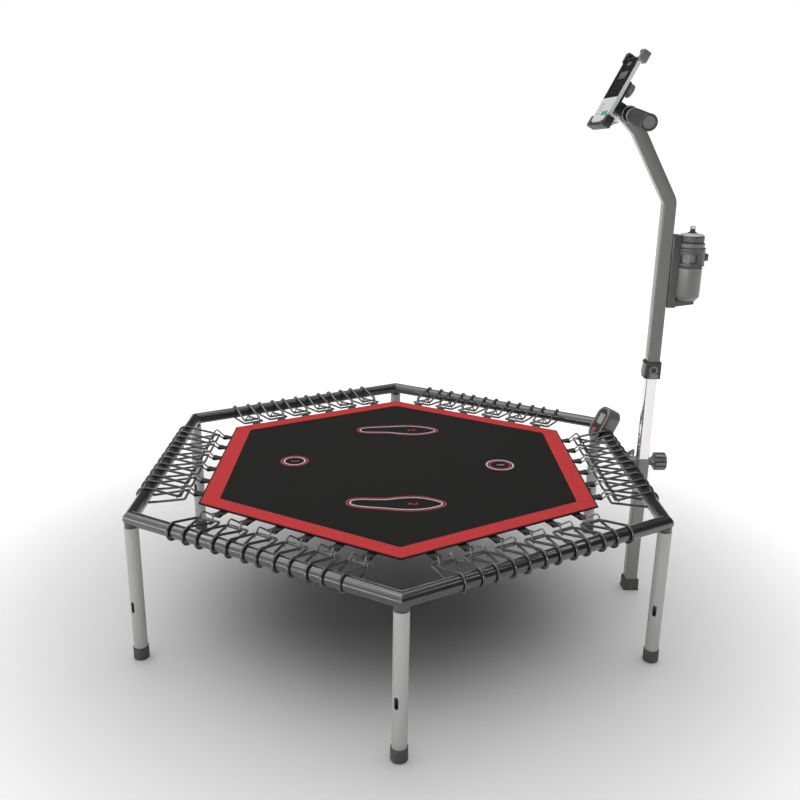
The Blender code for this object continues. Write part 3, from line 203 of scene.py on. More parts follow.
def toward(start, way, across=None):
    """The place at start whose z axis points along way."""
    way = Vector(way).normalized()
    side = Vector(across) if across else way.orthogonal()
    side = (side - way * side.dot(way)).normalized()
    return Matrix.Translation(start) @ Matrix((side, way.cross(side), way)).transposed().to_4x4()


def softened(points, radius, steps, cyclic=False):
    """The path with an arc at each corner."""
    corners = [Vector(point) for point in points]
    count = len(corners)
    path = []
    for i, corner in enumerate(corners):
        back = corners[i - 1] - corner
        ahead = corners[(i + 1) % count] - corner
        half = back.angle(ahead) / 2
        if half > radians(89.5) or (not cyclic and i in (0, count - 1)):
            path.append(corner)
            continue
        reach = min(radius / tan(half), 0.49 * back.length, 0.49 * ahead.length)
        start = corner + back.normalized() * reach
        end = corner + ahead.normalized() * reach
        for k in range(steps + 1):
            t = k / steps
            pull = 2 * sin(half) * t * (1 - t)
            whole = (1 - t) ** 2 + pull + t * t
            path.append((start * (1 - t) ** 2 + corner * pull + end * t * t) / whole)
    return path


def circle(radius, count):
    angles = [2 * pi * i / count for i in range(count)]
    return [Vector((radius * cos(angle), radius * sin(angle), 0)) for angle in angles]


def rectangle(width, height, corner, steps):
    x = width / 2
    y = height / 2
    return softened([(x, y, 0), (-x, y, 0), (-x, -y, 0), (x, -y, 0)], corner, steps, cyclic=True)


def stations(path, across, cyclic):
    """Places along a path, each with z along it and x turning as little as it can."""
    points = [Vector(point) for point in path]
    count = len(points)
    ways = []
    for i, point in enumerate(points):
        way = Vector((0, 0, 0))
        if cyclic or i:
            way += (point - points[i - 1]).normalized()
        if cyclic or i < count - 1:
            way += (points[(i + 1) % count] - point).normalized()
        ways.append(way.normalized())
    side = Vector(across) if across else ways[0].orthogonal()
    places = []
    for i, way in enumerate(ways):
        if i:
            side = ways[i - 1].rotation_difference(way) @ side
        places.append(toward(points[i], way, side))
    return places


def note_run(ring, layer, place, distance):
    """Keep each point's direction round a cord and its distance along it, for the braid."""
    inverse = place.inverted()
    for point in ring:
        spot = inverse @ point.co
        flat = Vector((spot.x, spot.y, 0)).normalized()
        point[layer] = (flat.x, flat.y, distance)


def sweep(path, section, across=None, cyclic=False, ends=True, run=False):
    """Carry a closed section along a path."""
    places = stations(path, across, cyclic)
    shape = bmesh.new()
    layer = shape.verts.layers.float_vector.new("run") if run else None
    ring = [shape.verts.new(places[0] @ Vector(point)) for point in section]
    first = [shape.edges.new(pair) for pair in zip(ring, ring[1:] + ring[:1])]
    edges = first
    distance = 0.0
    if run:
        note_run(ring, layer, places[0], distance)
    for before, after in zip(places, places[1:]):
        made = bmesh.ops.extrude_edge_only(shape, edges=edges)
        ring = new_points(made)
        edges = [
            item for item in made["geom"] if isinstance(item, bmesh.types.BMEdge) and item.is_boundary
        ]
        bmesh.ops.transform(shape, matrix=after @ before.inverted(), verts=ring)
        distance += (after.translation - before.translation).length
        if run:
            note_run(ring, layer, after, distance)
    if cyclic:
        bmesh.ops.bridge_loops(shape, edges=first + edges)
    elif ends:
        bmesh.ops.holes_fill(shape, edges=shape.edges, sides=0)
    return closed(shape)


def pipe(path, outer, inner, across):
    """A hollow tube with open ends."""
    shape = joined(sweep(path, outer, across, ends=False), sweep(path, inner, across, ends=False))
    reach = 1.6 * max(Vector(point).length for point in outer)
    for end in (path[0], path[-1]):
        rim = [
            edge for edge in shape.edges
            if edge.is_boundary and (edge.verts[0].co - Vector(end)).length < reach
        ]
        bmesh.ops.bridge_loops(shape, edges=rim)
    return closed(shape)


def lathe(profile, steps, ring):
    """Turn a profile of (radius, height) points round the z axis."""
    shape = bmesh.new()
    points = [shape.verts.new((radius, 0, height)) for radius, height in profile]
    pairs = list(zip(points, points[1:]))
    if ring:
        pairs.append((points[-1], points[0]))
    edges = [shape.edges.new(pair) for pair in pairs]
    bmesh.ops.spin(
        shape, geom=points + edges, cent=(0, 0, 0), axis=(0, 0, 1), angle=2 * pi, steps=steps,
        use_merge=True,
    )
    return closed(shape)


def turned(profile, radius, steps=48, ring=False):
    """A lathe piece whose profile has rounded corners."""
    path = softened([(r, h, 0) for r, h in profile], radius, 3, cyclic=ring)
    return lathe([(p.x, p.y) for p in path], steps, ring)


def washer(inner, outer, low, high, radius, steps=48):
    """A turned ring with a rectangular section."""
    return turned([(inner, low), (outer, low), (outer, high), (inner, high)], radius, steps, ring=True)


def rise(edge):
    return abs(edge.verts[0].co.z - edge.verts[1].co.z)


def level_edges(shape):
    return [edge for edge in shape.edges if rise(edge) < 1e-7]


def rounded_edges(shape, edges, offset, segments):
    bmesh.ops.bevel(
        shape, geom=edges, offset=offset, segments=segments, profile=0.5, affect="EDGES", material=-1,
        clamp_overlap=True,
    )
    return shape


def block(size, center, edge, corner=None, segments=3):
    """A box with rounded edges; corner rounds its four upright edges further."""
    shape = bmesh.new()
    matrix = Matrix.Translation(center) @ Matrix.Diagonal((*size, 1))
    bmesh.ops.create_cube(shape, size=1, matrix=matrix)
    if corner:
        upright = [item for item in shape.edges if rise(item) > size[2] / 2]
        rounded_edges(shape, upright, corner, 6)
        return rounded_edges(shape, level_edges(shape), edge, segments)
    return rounded_edges(shape, shape.edges[:], edge, segments)


def plate(outline, thickness, edge, segments=2):
    """A flat piece with the given outline, standing on z = 0."""
    shape = bmesh.new()
    ring = [shape.verts.new(point) for point in outline]
    edges = [shape.edges.new(pair) for pair in zip(ring, ring[1:] + ring[:1])]
    bmesh.ops.contextual_create(shape, geom=edges)
    made = bmesh.ops.extrude_face_region(shape, geom=shape.faces[:])
    bmesh.ops.translate(shape, vec=(0, 0, thickness), verts=new_points(made))
    bmesh.ops.holes_fill(shape, edges=shape.edges, sides=0)
    closed(shape)
    if edge:
        rounded_edges(shape, level_edges(shape), edge, segments)
    return shape


def cut(shape, *tools):
    """Take the tools' shapes out of a shape."""
    scene = bpy.context.scene.collection.objects
    body = bpy.data.objects.new("part", as_mesh(shape))
    scene.link(body)
    used = [body]
    for tool in tools:
        cutter = bpy.data.objects.new("part", as_mesh(tool))
        scene.link(cutter)
        used.append(cutter)
        modifier = body.modifiers.new("cut", "BOOLEAN")
        modifier.operation = "DIFFERENCE"
        modifier.solver = "EXACT"
        modifier.object = cutter
    bpy.context.view_layer.update()
    result = bmesh.new()
    result.from_object(body, bpy.context.evaluated_depsgraph_get())
    for thing in used:
        mesh = thing.data
        bpy.data.objects.remove(thing, do_unlink=True)
        bpy.data.meshes.remove(mesh)
    return result


def ribbed(shape, count, depth, low, high, least_radius):
    """Press grooves into a lathe piece between two heights."""
    for point in shape.verts:
        radius = (point.co.x ** 2 + point.co.y ** 2) ** 0.5
        if radius < least_radius or not low <= point.co.z <= high:
            continue
        near = max(0.0, cos(count * atan2(point.co.y, point.co.x))) ** 2
        share = 1 - depth * near / radius
        point.co.x *= share
        point.co.y *= share
    return shape


def rod(start, end, radius, edge, steps=24):
    """A round bar with softened ends."""
    start = Vector(start)
    way = Vector(end) - start
    shape = turned([(0, 0), (radius, 0), (radius, way.length), (0, way.length)], edge, steps)
    return moved(shape, toward(start, way))


def numeral(text, size):
    """A plain number, flat, with its middle at the origin."""
    curve = bpy.data.curves.new("numeral", "FONT")
    curve.body = text
    curve.size = size
    curve.extrude = 0.00008
    curve.align_x = "CENTER"
    curve.align_y = "CENTER"
    holder = bpy.data.objects.new("numeral", curve)
    bpy.context.scene.collection.objects.link(holder)
    bpy.context.view_layer.update()
    ready = holder.evaluated_get(bpy.context.evaluated_depsgraph_get())
    mesh = bpy.data.meshes.new_from_object(ready)
    shape = bmesh.new()
    shape.from_mesh(mesh)
    bpy.data.objects.remove(holder, do_unlink=True)
    bpy.data.curves.remove(curve)
    bpy.data.meshes.remove(mesh)
    return closed(shape)


def piece(name, shape, finish, body, replaces=()):
    """Put a finished shape in its place, on its body."""
    moved(shape, PLACE)
    mesh = bpy.data.meshes.new(name)
    shape.to_mesh(mesh)
    shape.free()
    mesh.materials.append(finish)
    mesh.shade_smooth()
    mesh.set_sharp_from_angle(angle=SHARP_ANGLE)
    thing = bpy.data.objects.new(name, mesh)
    bpy.context.scene.collection.objects.link(thing)
    if replaces:
        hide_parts(*replaces)
    if body:
        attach(thing, body)
    return thing


# Materials

class Value:
    """A number inside a node tree, for plain arithmetic."""

    def __init__(self, graph, socket):
        self.graph = graph
        self.socket = socket

    def math(self, operation, *others):
        inputs = dict(enumerate((self, *others)))
        return self.graph.node("ShaderNodeMath", {"operation": operation}, inputs)

    def __add__(self, other):
        return self.math("ADD", other)

    def __sub__(self, other):
        return self.math("SUBTRACT", other)

    def __mul__(self, other):
        return self.math("MULTIPLY", other)

    def __pow__(self, other):
        return self.math("POWER", other)

    def __rsub__(self, other):
        return self * -1 + other

    def between(self, low, high):
        """0 at low, 1 at high, smooth between them."""
        settings = {"interpolation_type": "SMOOTHSTEP"}
        return self.graph.node("ShaderNodeMapRange", settings, {0: self, 1: low, 2: high})


class Graph:
    """A node tree, and plain ways to add nodes to it."""

    def __init__(self, tree):
        self.tree = tree

    def node(self, kind, settings=None, inputs=None, output=0):
        made = self.tree.nodes.new(kind)
        for key, value in (settings or {}).items():
            setattr(made, key, value)
        for key, value in (inputs or {}).items():
            self.feed(made.inputs[key], value)
        return Value(self, made.outputs[output])

    def feed(self, socket, value):
        if isinstance(value, Value):
            self.tree.links.new(value.socket, socket)
        else:
            socket.default_value = value


class Finish(Graph):
    """A material built round one Principled shader."""

    def __init__(self, name, colour, roughness, **constants):
        self.material = bpy.data.materials.new(name)
        self.material.use_nodes = True
        super().__init__(self.material.node_tree)
        self.shader = self.tree.nodes["Principled BSDF"]
        self.colour = colour
        self.put("Base Color", (*colour, 1.0))
        self.put("Roughness", roughness)
        for key, value in constants.items():
            self.put(key.replace("_", " "), value)
        self.place = self.node("ShaderNodeTexCoord", output="Object")

    def put(self, name, value):
        self.feed(self.shader.inputs[name], value)

    def mapped(self, shift=(0, 0, 0), scale=(1, 1, 1)):
        inputs = {"Vector": self.place, "Location": shift, "Scale": scale}
        return self.node("ShaderNodeMapping", None, inputs)

    def axes(self, vector=None):
        split = self.node("ShaderNodeSeparateXYZ", None, {0: vector or self.place})
        return [Value(self, socket) for socket in split.socket.node.outputs]

    def mat_axes(self):
        """x, y and z from the middle of the mat."""
        return self.axes(self.mapped(shift=(-MIDDLE_X, 0, 0)))

    def noise(self, scale, detail, vector=None):
        inputs = {"Vector": vector or self.place, "Scale": scale, "Detail": detail}
        return self.node("ShaderNodeTexNoise", None, inputs, "Fac")

    def cells(self, scale):
        inputs = {"Vector": self.place, "Scale": scale}
        return self.node("ShaderNodeTexVoronoi", None, inputs, "Distance")

    def mix(self, share, first, second):
        colours = [(*value, 1.0) if isinstance(value, tuple) else value for value in (first, second)]
        inputs = {0: share, 6: colours[0], 7: colours[1]}
        return self.node("ShaderNodeMix", {"data_type": "RGBA"}, inputs, 2)

    def tones(self, share, dark, light):
        """Vary the base colour between a darker and a lighter share of itself."""
        low = tuple(channel * dark for channel in self.colour)
        high = tuple(min(1.0, channel * light) for channel in self.colour)
        self.put("Base Color", self.mix(share, low, high))

    def bump(self, height, distance):
        inputs = {"Height": height, "Distance": distance, "Strength": 1.0}
        self.put("Normal", self.node("ShaderNodeBump", None, inputs))

    def done(self, tones, roughness, height, depth):
        """Set what varies over the surface and hand over the material."""
        self.tones(*tones)
        self.put("Roughness", roughness)
        self.bump(height, depth)
        return self.material


def painted(name, colour, roughness, spread, level=0.5, coat=0.0, gloss=0.08):
    """Powder paint: a fine orange-peel surface, with faint scuffs."""
    finish = Finish(
        name, colour, roughness, Specular_IOR_Level=level, Coat_Weight=coat, Coat_Roughness=gloss,
    )
    peel = finish.noise(900, 2)
    broad = finish.noise(14, 3)
    scuff = finish.noise(55, 5).between(0.62, 0.74)
    rough = broad * 0.10 + scuff * 0.12 + (roughness - 0.05)
    tones = (broad * 0.8 + scuff * 0.35, 1 - spread, 1 + spread)
    return finish.done(tones, rough, peel + scuff * 0.15, 0.00006)


def moulded(name, colour, roughness, coat=0.0):
    """Moulded plastic with a fine spark-eroded grain."""
    finish = Finish(name, colour, roughness, Coat_Weight=coat, Coat_Roughness=0.14)
    fine = finish.noise(1400, 1)
    broad = finish.noise(22, 3)
    rough = broad * 0.12 + fine * 0.08 + (roughness - 0.10)
    return finish.done((broad * 0.8 + fine * 0.2, 0.88, 1.14), rough, fine, 0.00005)


def rubbered(name, colour):
    """Black rubber with a fine grain and a little dust."""
    finish = Finish(name, colour, 0.72, Specular_IOR_Level=0.35)
    fine = finish.noise(1100, 3)
    dust = finish.noise(35, 4).between(0.45, 0.75)
    return finish.done((dust, 0.85, 1.35), dust * 0.12 + 0.66, fine + dust * 0.3, 0.00010)


def plated(name, colour, roughness):
    """Bright metal, drawn along z."""
    finish = Finish(name, colour, roughness, Metallic=1.0)
    drawn = finish.noise(60, 4, finish.mapped(scale=(14, 14, 0.6)))
    cloud = finish.noise(26, 3)
    rough = drawn * 0.06 + cloud * 0.08 + (roughness - 0.06)
    return finish.done((cloud, 0.94, 1.03), rough, drawn, 0.00002)


def crossed(along, over, pitch):
    """An over-and-under weave: the height of the upper thread at each point."""
    turn = pi / pitch
    first = (along * turn).math("SINE")
    second = (over * turn).math("SINE")
    checks = first * second
    threads = first.math("ABSOLUTE") * 0.5 + second.math("ABSOLUTE") * 0.5
    return checks.math("ABSOLUTE") * 0.6 + threads * 0.4, checks


def hex_distance(x, y):
    """How far a point lies from the mat's middle, measured square to the nearest side."""
    lean = y * (3 ** 0.5 / 2)
    half = x * 0.5
    one = (half + lean).math("ABSOLUTE")
    other = (half - lean).math("ABSOLUTE")
    return x.math("ABSOLUTE").math("MAXIMUM", one.math("MAXIMUM", other))


def mat_cloth():
    """Close-woven black jumping mat: square threads with a faint sheen."""
    finish = Finish("mat_cloth", (0.0165, 0.0165, 0.0159), 0.70, Specular_IOR_Level=0.05)
    x, y, _ = finish.mat_axes()
    height, checks = crossed(x, y, WEAVE)
    broad = finish.noise(5, 4)
    warp = finish.noise(30, 2, finish.mapped(scale=(1, 18, 1)))
    tones = (height * 0.55 + broad * 0.35 + warp * 0.2, 0.65, 1.45)
    return finish.done(tones, broad * 0.12 + checks * 0.06 + 0.64, height + warp * 0.2, 0.00035)


def border_cloth():
    """Red coated cloth, with sewn lines and a fine weave."""
    finish = Finish("border_cloth", (0.50, 0.031, 0.034), 0.60, Specular_IOR_Level=0.08)
    x, y, _ = finish.mat_axes()
    span = hex_distance(x, y)
    height, _ = crossed(x + y * 0.35, y - x * 0.35, 0.0016)
    broad = finish.noise(9, 4)
    pressed = None
    for row in SEWN_ROWS:
        near = 1 - (span - row).math("ABSOLUTE").between(0.0003, 0.0011)
        pressed = pressed + near if pressed else near
    plain = finish.mix(broad * 0.7 + height * 0.3, (0.54, 0.042, 0.045), (0.73, 0.059, 0.062))
    finish.put("Base Color", finish.mix(pressed * 0.5, plain, (0.66, 0.10, 0.10)))
    finish.put("Roughness", broad * 0.15 + 0.52)
    finish.bump(height * 0.35 - pressed * 1.2 + broad * 0.5, 0.00035)
    return finish.material


def webbing():
    """Black webbing with a ribbed weave."""
    finish = Finish("webbing", (0.017, 0.0175, 0.017), 0.60, Specular_IOR_Level=0.4, Sheen_Weight=0.1)
    x, y, z = finish.axes()
    height, checks = crossed(x + y * 0.6, y - x * 0.6 + z, 0.0013)
    broad = finish.noise(40, 3)
    rough = broad * 0.15 + checks * 0.05 + 0.52
    return finish.done((height * 0.6 + broad * 0.5, 0.6, 1.6), rough, height, 0.0003)


def braided():
    """Elastic cord: a braided sheath over the rubber."""
    finish = Finish(
        "cord", (0.014, 0.014, 0.014), 0.40, Specular_IOR_Level=0.6, Coat_Weight=0.9,
        Coat_Roughness=0.16,
    )
    run = finish.node("ShaderNodeAttribute", {"attribute_name": "run"}, None, "Vector")
    across, over, along = finish.axes(run)
    turn = over.math("ARCTAN2", across) * 6
    one = (turn + along * 1700).math("SINE")
    other = (turn - along * 1700).math("SINE")
    strands = one.math("MAXIMUM", other)
    broad = finish.noise(60, 2)
    rough = strands * 0.08 + broad * 0.1 + 0.34
    return finish.done((strands * 0.5 + broad * 0.5, 0.6, 1.9), rough, strands, 0.00014)


def foam():
    """Closed-cell foam: tiny pores and a soft bloom."""
    finish = Finish("foam", (0.026, 0.026, 0.026), 0.80, Specular_IOR_Level=0.25, Sheen_Weight=0.05)
    pores = finish.cells(900)
    skin = finish.noise(240, 4)
    broad = finish.noise(18, 3)
    height = pores * -0.7 + skin * 0.6 + broad * 0.6
    return finish.done((pores * 0.6 + broad * 0.6, 0.70, 1.40), skin * 0.15 + 0.74, height, 0.00030)


def squeezy(name, colour, roughness):
    """Soft bottle plastic: slightly milky, with faint flow lines up its sides."""
    finish = Finish(name, colour, roughness, Coat_Weight=0.15, Coat_Roughness=0.25)
    flow = finish.noise(40, 3, finish.mapped(scale=(6, 6, 0.4)))
    cloud = finish.noise(30, 3)
    fine = finish.noise(1200, 1)
    rough = cloud * 0.10 + (roughness - 0.05)
    tones = (flow * 0.5 + cloud * 0.5, 0.90, 1.12)
    return finish.done(tones, rough, flow * 0.5 + fine * 0.2, 0.00008)


def inked(name, colour):
    """Screen-printed ink, thin enough to show the weave below it."""
    finish = Finish(name, colour, 0.55, Specular_IOR_Level=0.35)
    x, y, _ = finish.mat_axes()
    height, _ = crossed(x, y, WEAVE)
    patchy = finish.noise(120, 4)
    tones = (height * 0.5 + patchy * 0.6, 0.72, 1.1)
    return finish.done(tones, patchy * 0.15 + 0.48, height, 0.00020)


def glassy(name, colour, roughness, glow=0.0):
    """Cover glass or a display under it, with faint smears."""
    finish = Finish(
        name, colour, roughness, Specular_IOR_Level=0.3, Coat_Weight=0.05, Coat_Roughness=0.1,
    )
    smear = finish.noise(45, 4)
    dots = finish.noise(700, 1)
    if glow:
        dimmer = tuple(channel * 0.9 for channel in colour)
        finish.put("Emission Strength", glow)
        finish.put("Emission Color", finish.mix(dots, colour, dimmer))
    rough = smear * 0.10 + (roughness - 0.03)
    return finish.done((dots * 0.5 + smear * 0.5, 0.92, 1.06), rough, smear, 0.00001)


BLACK_PAINT = painted(
    "black_paint", (0.020, 0.020, 0.020), 0.30, 0.10, level=0.4, coat=1.0, gloss=0.05,
)
LEG_PAINT = painted("leg_paint", (0.56, 0.56, 0.55), 0.42, 0.05)
POST_PAINT = painted("post_paint", (0.160, 0.160, 0.154), 0.36, 0.06, coat=0.9, gloss=0.14)
UPRIGHT_PAINT = painted("upright_paint", (0.310, 0.310, 0.300), 0.36, 0.06, coat=0.6, gloss=0.14)
RUBBER = rubbered("rubber", (0.115, 0.115, 0.112))
CHROME = plated("chrome", (0.76, 0.76, 0.755), 0.12)
STEEL = plated("steel", (0.55, 0.55, 0.56), 0.28)
BLACK_PLASTIC = moulded("black_plastic", (0.030, 0.030, 0.030), 0.42)
GREY_PLASTIC = moulded("grey_plastic", (0.165, 0.165, 0.162), 0.42)
PALE_PLASTIC = moulded("pale_grey_plastic", (0.34, 0.34, 0.335), 0.42)
WHITE_PLASTIC = moulded("white_plastic", (0.78, 0.78, 0.77), 0.35)
CAP_PLASTIC = squeezy("cap_plastic", (0.70, 0.70, 0.69), 0.30)
BOTTLE_PLASTIC = squeezy("bottle_plastic", (0.200, 0.200, 0.196), 0.30)
MAT_CLOTH = mat_cloth()
BORDER_CLOTH = border_cloth()
WEBBING = webbing()
CORD_FINISH = braided()
FOAM = foam()
RED_INK = inked("red_ink", (0.60, 0.050, 0.065))
WHITE_INK = inked("white_ink", (0.80, 0.74, 0.74))
RED_THREAD = inked("red_thread", (0.60, 0.10, 0.10))
RED_RUBBER = moulded("red_button", (0.60, 0.10, 0.12), 0.38, coat=0.3)
SCREEN_DARK = glassy("screen_dark", (0.012, 0.012, 0.014), 0.25)
SCREEN_PALE = glassy("screen_pale", (0.84, 0.85, 0.86), 0.20, glow=0.16)
SCREEN_GREY = glassy("screen_grey", (0.30, 0.31, 0.32), 0.25)
SCREEN_DIM = glassy("screen_dim", (0.070, 0.072, 0.075), 0.25)
SCREEN_LINE = glassy("screen_line", (0.58, 0.63, 0.60), 0.25)
SCREEN_GREEN = glassy("screen_green", (0.03, 0.50, 0.28), 0.20, glow=0.15)
DISPLAY = glassy("display", (0.74, 0.78, 0.64), 0.20)
STEEL_DARK = plated("hook_steel", (0.20, 0.20, 0.20), 0.36)
KNOB_PLASTIC = moulded("knob_plastic", (0.190, 0.190, 0.187), 0.36, coat=0.8)
DARK_PLASTIC = moulded("dark_plastic", (0.032, 0.032, 0.031), 0.40)
CAGE_PLASTIC = moulded("cage_plastic", (0.066, 0.066, 0.065), 0.40, coat=0.3)
CLAW_PLASTIC = moulded("claw_plastic", (0.175, 0.175, 0.172), 0.40, coat=0.5)
SHELL_PLASTIC = moulded("shell_plastic", (0.140, 0.140, 0.137), 0.38, coat=0.8)
BRACKET_PAINT = painted("bracket_paint", (0.30, 0.30, 0.295), 0.40, 0.08)
PHONE_METAL = painted("phone_metal", (0.80, 0.80, 0.81), 0.28, 0.03)


# Rim, legs and feet

def corner_spot(i):
    angle = radians(-30 + 60 * i)
    return Vector((RIM_CORNER * cos(angle), RIM_CORNER * sin(angle), 0))


CORNER_PLACES = [Matrix.Translation(corner_spot(i)) for i in range(6)]


def side_place(i):
    """Side coordinates: x outwards from the mat's middle, y along the side."""
    return Matrix.Rotation(i * pi / 3, 4, "Z")


def mitred_side():
    """One rim tube, cut off at both ends where it meets its neighbours."""
    shape = bmesh.new()
    turn = Matrix.Translation((RIM_APOTHEM, 0, RIM_Z)) @ Matrix.Rotation(pi / 2, 4, "X")
    bmesh.ops.create_cone(
        shape, cap_ends=False, segments=48, radius1=TUBE, radius2=TUBE, depth=0.70, matrix=turn,
    )
    for sign in (-1, 1):
        lean = Vector((-sin(sign * pi / 6), cos(sign * pi / 6), 0)) * sign
        everything = shape.verts[:] + shape.edges[:] + shape.faces[:]
        bmesh.ops.bisect_plane(
            shape, geom=everything, dist=1e-6, plane_co=(0, 0, 0), plane_no=lean, clear_outer=True,
        )
    return shape


def on_mitre(edge):
    for point in edge.verts:
        angle = atan2(point.co.y, point.co.x) / (pi / 3) - 0.5
        if abs(angle - round(angle)) > 1e-4:
            return False
    return True


def build_rim():
    ring = repeated(mitred_side(), [side_place(i) for i in range(6)])
    bmesh.ops.remove_doubles(ring, verts=ring.verts, dist=1e-5)
    bmesh.ops.recalc_face_normals(ring, faces=ring.faces)
    rounded_edges(ring, [edge for edge in ring.edges if on_mitre(edge)], 0.0085, 6)
    stub = turned([
        (0, 0.2407), (0.0127, 0.2407), (0.0127, 0.3052), (0.0141, 0.3060), (0.0141, 0.3225),
        (0, 0.3225),
    ], 0.0006, 40)
    stubs = repeated(stub, CORNER_PLACES)
    names = ["rim_tube_" + side for side in SIDES]
    piece("hexagonal_rim", joined(ring, stubs), BLACK_PAINT, "frame", names)
    rivet = turned([
        (0, -0.002), (0.0019, -0.002), (0.0022, 0.0), (0.0018, 0.0007), (0, 0.0010),
    ], 0.0003, 20)
    way = Vector((cos(1.2), 0, sin(1.2)))
    moved(rivet, toward(Vector((RIM_APOTHEM, -0.288, RIM_Z)) + way * TUBE, way))
    piece("rim_rivet", rivet, STEEL_DARK, "frame")


def build_legs():
    tube = washer(TUBE - 0.0015, TUBE, 0.0045, LEG_TOP, 0.0005, 56)
    azimuth = radians(240)
    way = Vector((cos(azimuth), sin(azimuth), 0))
    slot = plate(rectangle(0.0085, 0.0255, 0.00424, 8), 0.02, edge=0)
    moved(slot, toward(Vector((0, 0, 0.125)) + way * 0.006, way, way.cross(Vector((0, 0, 1)))))
    legs = repeated(cut(tube, slot), CORNER_PLACES)
    names = ["leg_" + corner for corner in CORNERS]
    piece("leg_tubes", legs, LEG_PAINT, "frame", names)
    cap = turned([
        (0, 0), (0.0148, 0), (0.01625, 0.0016), (0.01625, 0.0042), (0.0158, 0.0048),
        (0.01625, 0.0054), (0.01625, 0.0268), (0.0156, 0.028), (0.0147, 0.028), (0.0147, 0.0042),
        (0, 0.0042),
    ], 0.0004)
    feet = repeated(cap, CORNER_PLACES)
    names = ["leg_foot_" + corner for corner in CORNERS]
    piece("rubber_feet", feet, RUBBER, "frame", names)


# Bungee suspension. Side coordinates: x outwards, y along the side, z up.

RING_SHIFT = {"front_right": 0.006}
RING_LOW = (0.460, 0.318)
RING_HIGH = (0.4705, 0.3222)
RING_HALF_WIDTH = 0.0195


def unit_places(i):
    """Where the six rings of a side sit."""
    shift = RING_SHIFT.get(SIDES[i], 0.0)
    steps = [(k - 2.5) * PITCH + shift for k in range(6)]
    return [side_place(i) @ Matrix.Translation((0, step, 0)) for step in steps]


def wrap_angle(point, sign, radius):
    """Where a strand from a point meets the wrap round the tube."""
    way = Vector((point[0] - RIM_APOTHEM, point[1] - RIM_Z))
    return atan2(way.y, way.x) + sign * acos(radius / way.length)


def ring_path():
    """One elastic ring: hooked at the mat, folded once round the rim tube."""
    radius = TUBE + CORD + CORD_GAP
    start = wrap_angle(RING_LOW, 1, radius) % (2 * pi)
    end = wrap_angle(RING_HIGH, -1, radius) % (2 * pi) + 2 * pi
    steps = 16
    half = []
    for k in range(steps + 1):
        angle = start + (end - start) * k / steps
        x = RIM_APOTHEM + radius * cos(angle)
        half.append(Vector((x, RING_HALF_WIDTH, RIM_Z + radius * sin(angle))))
    x, z = RING_LOW
    lower = softened([(x, 0, z), (x, 0.026, z), half[0]], 0.0045, 5)[:-1]
    x, z = RING_HIGH
    upper = [half[-1], (0.4800, 0.0222, 0.3245), (x, RING_HALF_WIDTH, z), (x, 0, z)]
    one = lower + half + softened(upper, 0.004, 4)[1:]
    other = [Vector((p.x, -p.y, p.z)) for p in reversed(one[1:-1])]
    return one + other


def hook_path():
    """The bent wire that joins a tab to its elastic ring."""
    half = [(0.4440, 0.0080, 0.3205), (0.4650, 0.0147, 0.3365), (0.4790, 0.0175, 0.3170)]
    other = [(x, -y, z) for x, y, z in reversed(half)]
    return softened(other + half, 0.0045, 5)


def tab_path():
    """A webbing loop from under the mat's edge round the wire and back, seen from its side."""
    return softened([
        (0.4060, 0, 0.3199), (0.4300, 0, 0.3199), (0.4420, 0, 0.3232), (0.4474, 0, 0.3200),
        (0.4420, 0, 0.3168), (0.4300, 0, 0.3182), (0.4060, 0, 0.3182),
    ], 0.0030, 5)


def build_suspension():
    ring_mesh = as_mesh(sweep(ring_path(), circle(CORD, 10), cyclic=True, run=True))
    for i, side in enumerate(SIDES):
        rings = bmesh.new()
        rings.from_mesh(ring_mesh)
        rings = repeated(rings, unit_places(i))
        cord = piece("bungee_rings_" + side, rings, CORD_FINISH, None, ["bungee_" + side])
        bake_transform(cord)
        wires = repeated(sweep(hook_path(), circle(WIRE, 10)), unit_places(i))
        piece("wire_hooks_" + side, wires, STEEL_DARK, "mat")
        tab = sweep(tab_path(), rectangle(0.019, 0.0013, 0.0005, 2), across=(0, 1, 0))
        tabs = repeated(tab, unit_places(i))
        strip = moved(block((0.030, 0.452, 0.0024), (0.4045, 0, 0.32195), 0.0007), side_place(i))
        names = ["hook_strip_" + side]
        piece("edge_tabs_" + side, joined(tabs, strip), WEBBING, "mat", names)
    bpy.data.meshes.remove(ring_mesh)


# Mat

def hexagon_lathe(profile, ring=False):
    shape = lathe([(n / cos(pi / 6), z) for n, z in profile], 6, ring)
    return moved(shape, Matrix.Rotation(pi / 6, 4, "Z"))


def stitches():
    """Rows of thread along the border."""
    thread = bmesh.new()
    flatten = Matrix.Diagonal((0.00035, 0.0016, 0.00030, 1))
    bmesh.ops.create_uvsphere(thread, u_segments=6, v_segments=4, radius=1, matrix=flatten)
    places = []
    for i in range(6):
        for row in SEWN_ROWS:
            half = row * tan(pi / 6) - 0.003
            count = int(2 * half / THREAD_PITCH)
            for k in range(count + 1):
                along = -half + 2 * half * k / count
                places.append(side_place(i) @ Matrix.Translation((row, along, BORDER_TOP)))
    return repeated(thread, places)


# A shoe's outline, toe towards +x
SHOE = (
    (-0.1043, -0.004), (-0.0985, -0.0150), (-0.0800, -0.0190), (-0.0520, -0.0185),
    (-0.0250, -0.0195), (0.0000, -0.0265), (0.0280, -0.0305), (0.0520, -0.0280),
    (0.0760, -0.0170), (0.0905, -0.0060), (0.0905, 0.0060), (0.0780, 0.0160), (0.0560, 0.0260),
    (0.0280, 0.0312), (0.0000, 0.0300), (-0.0300, 0.0250), (-0.0650, 0.0200), (-0.0900, 0.0140),
    (-0.1020, 0.0060),
)


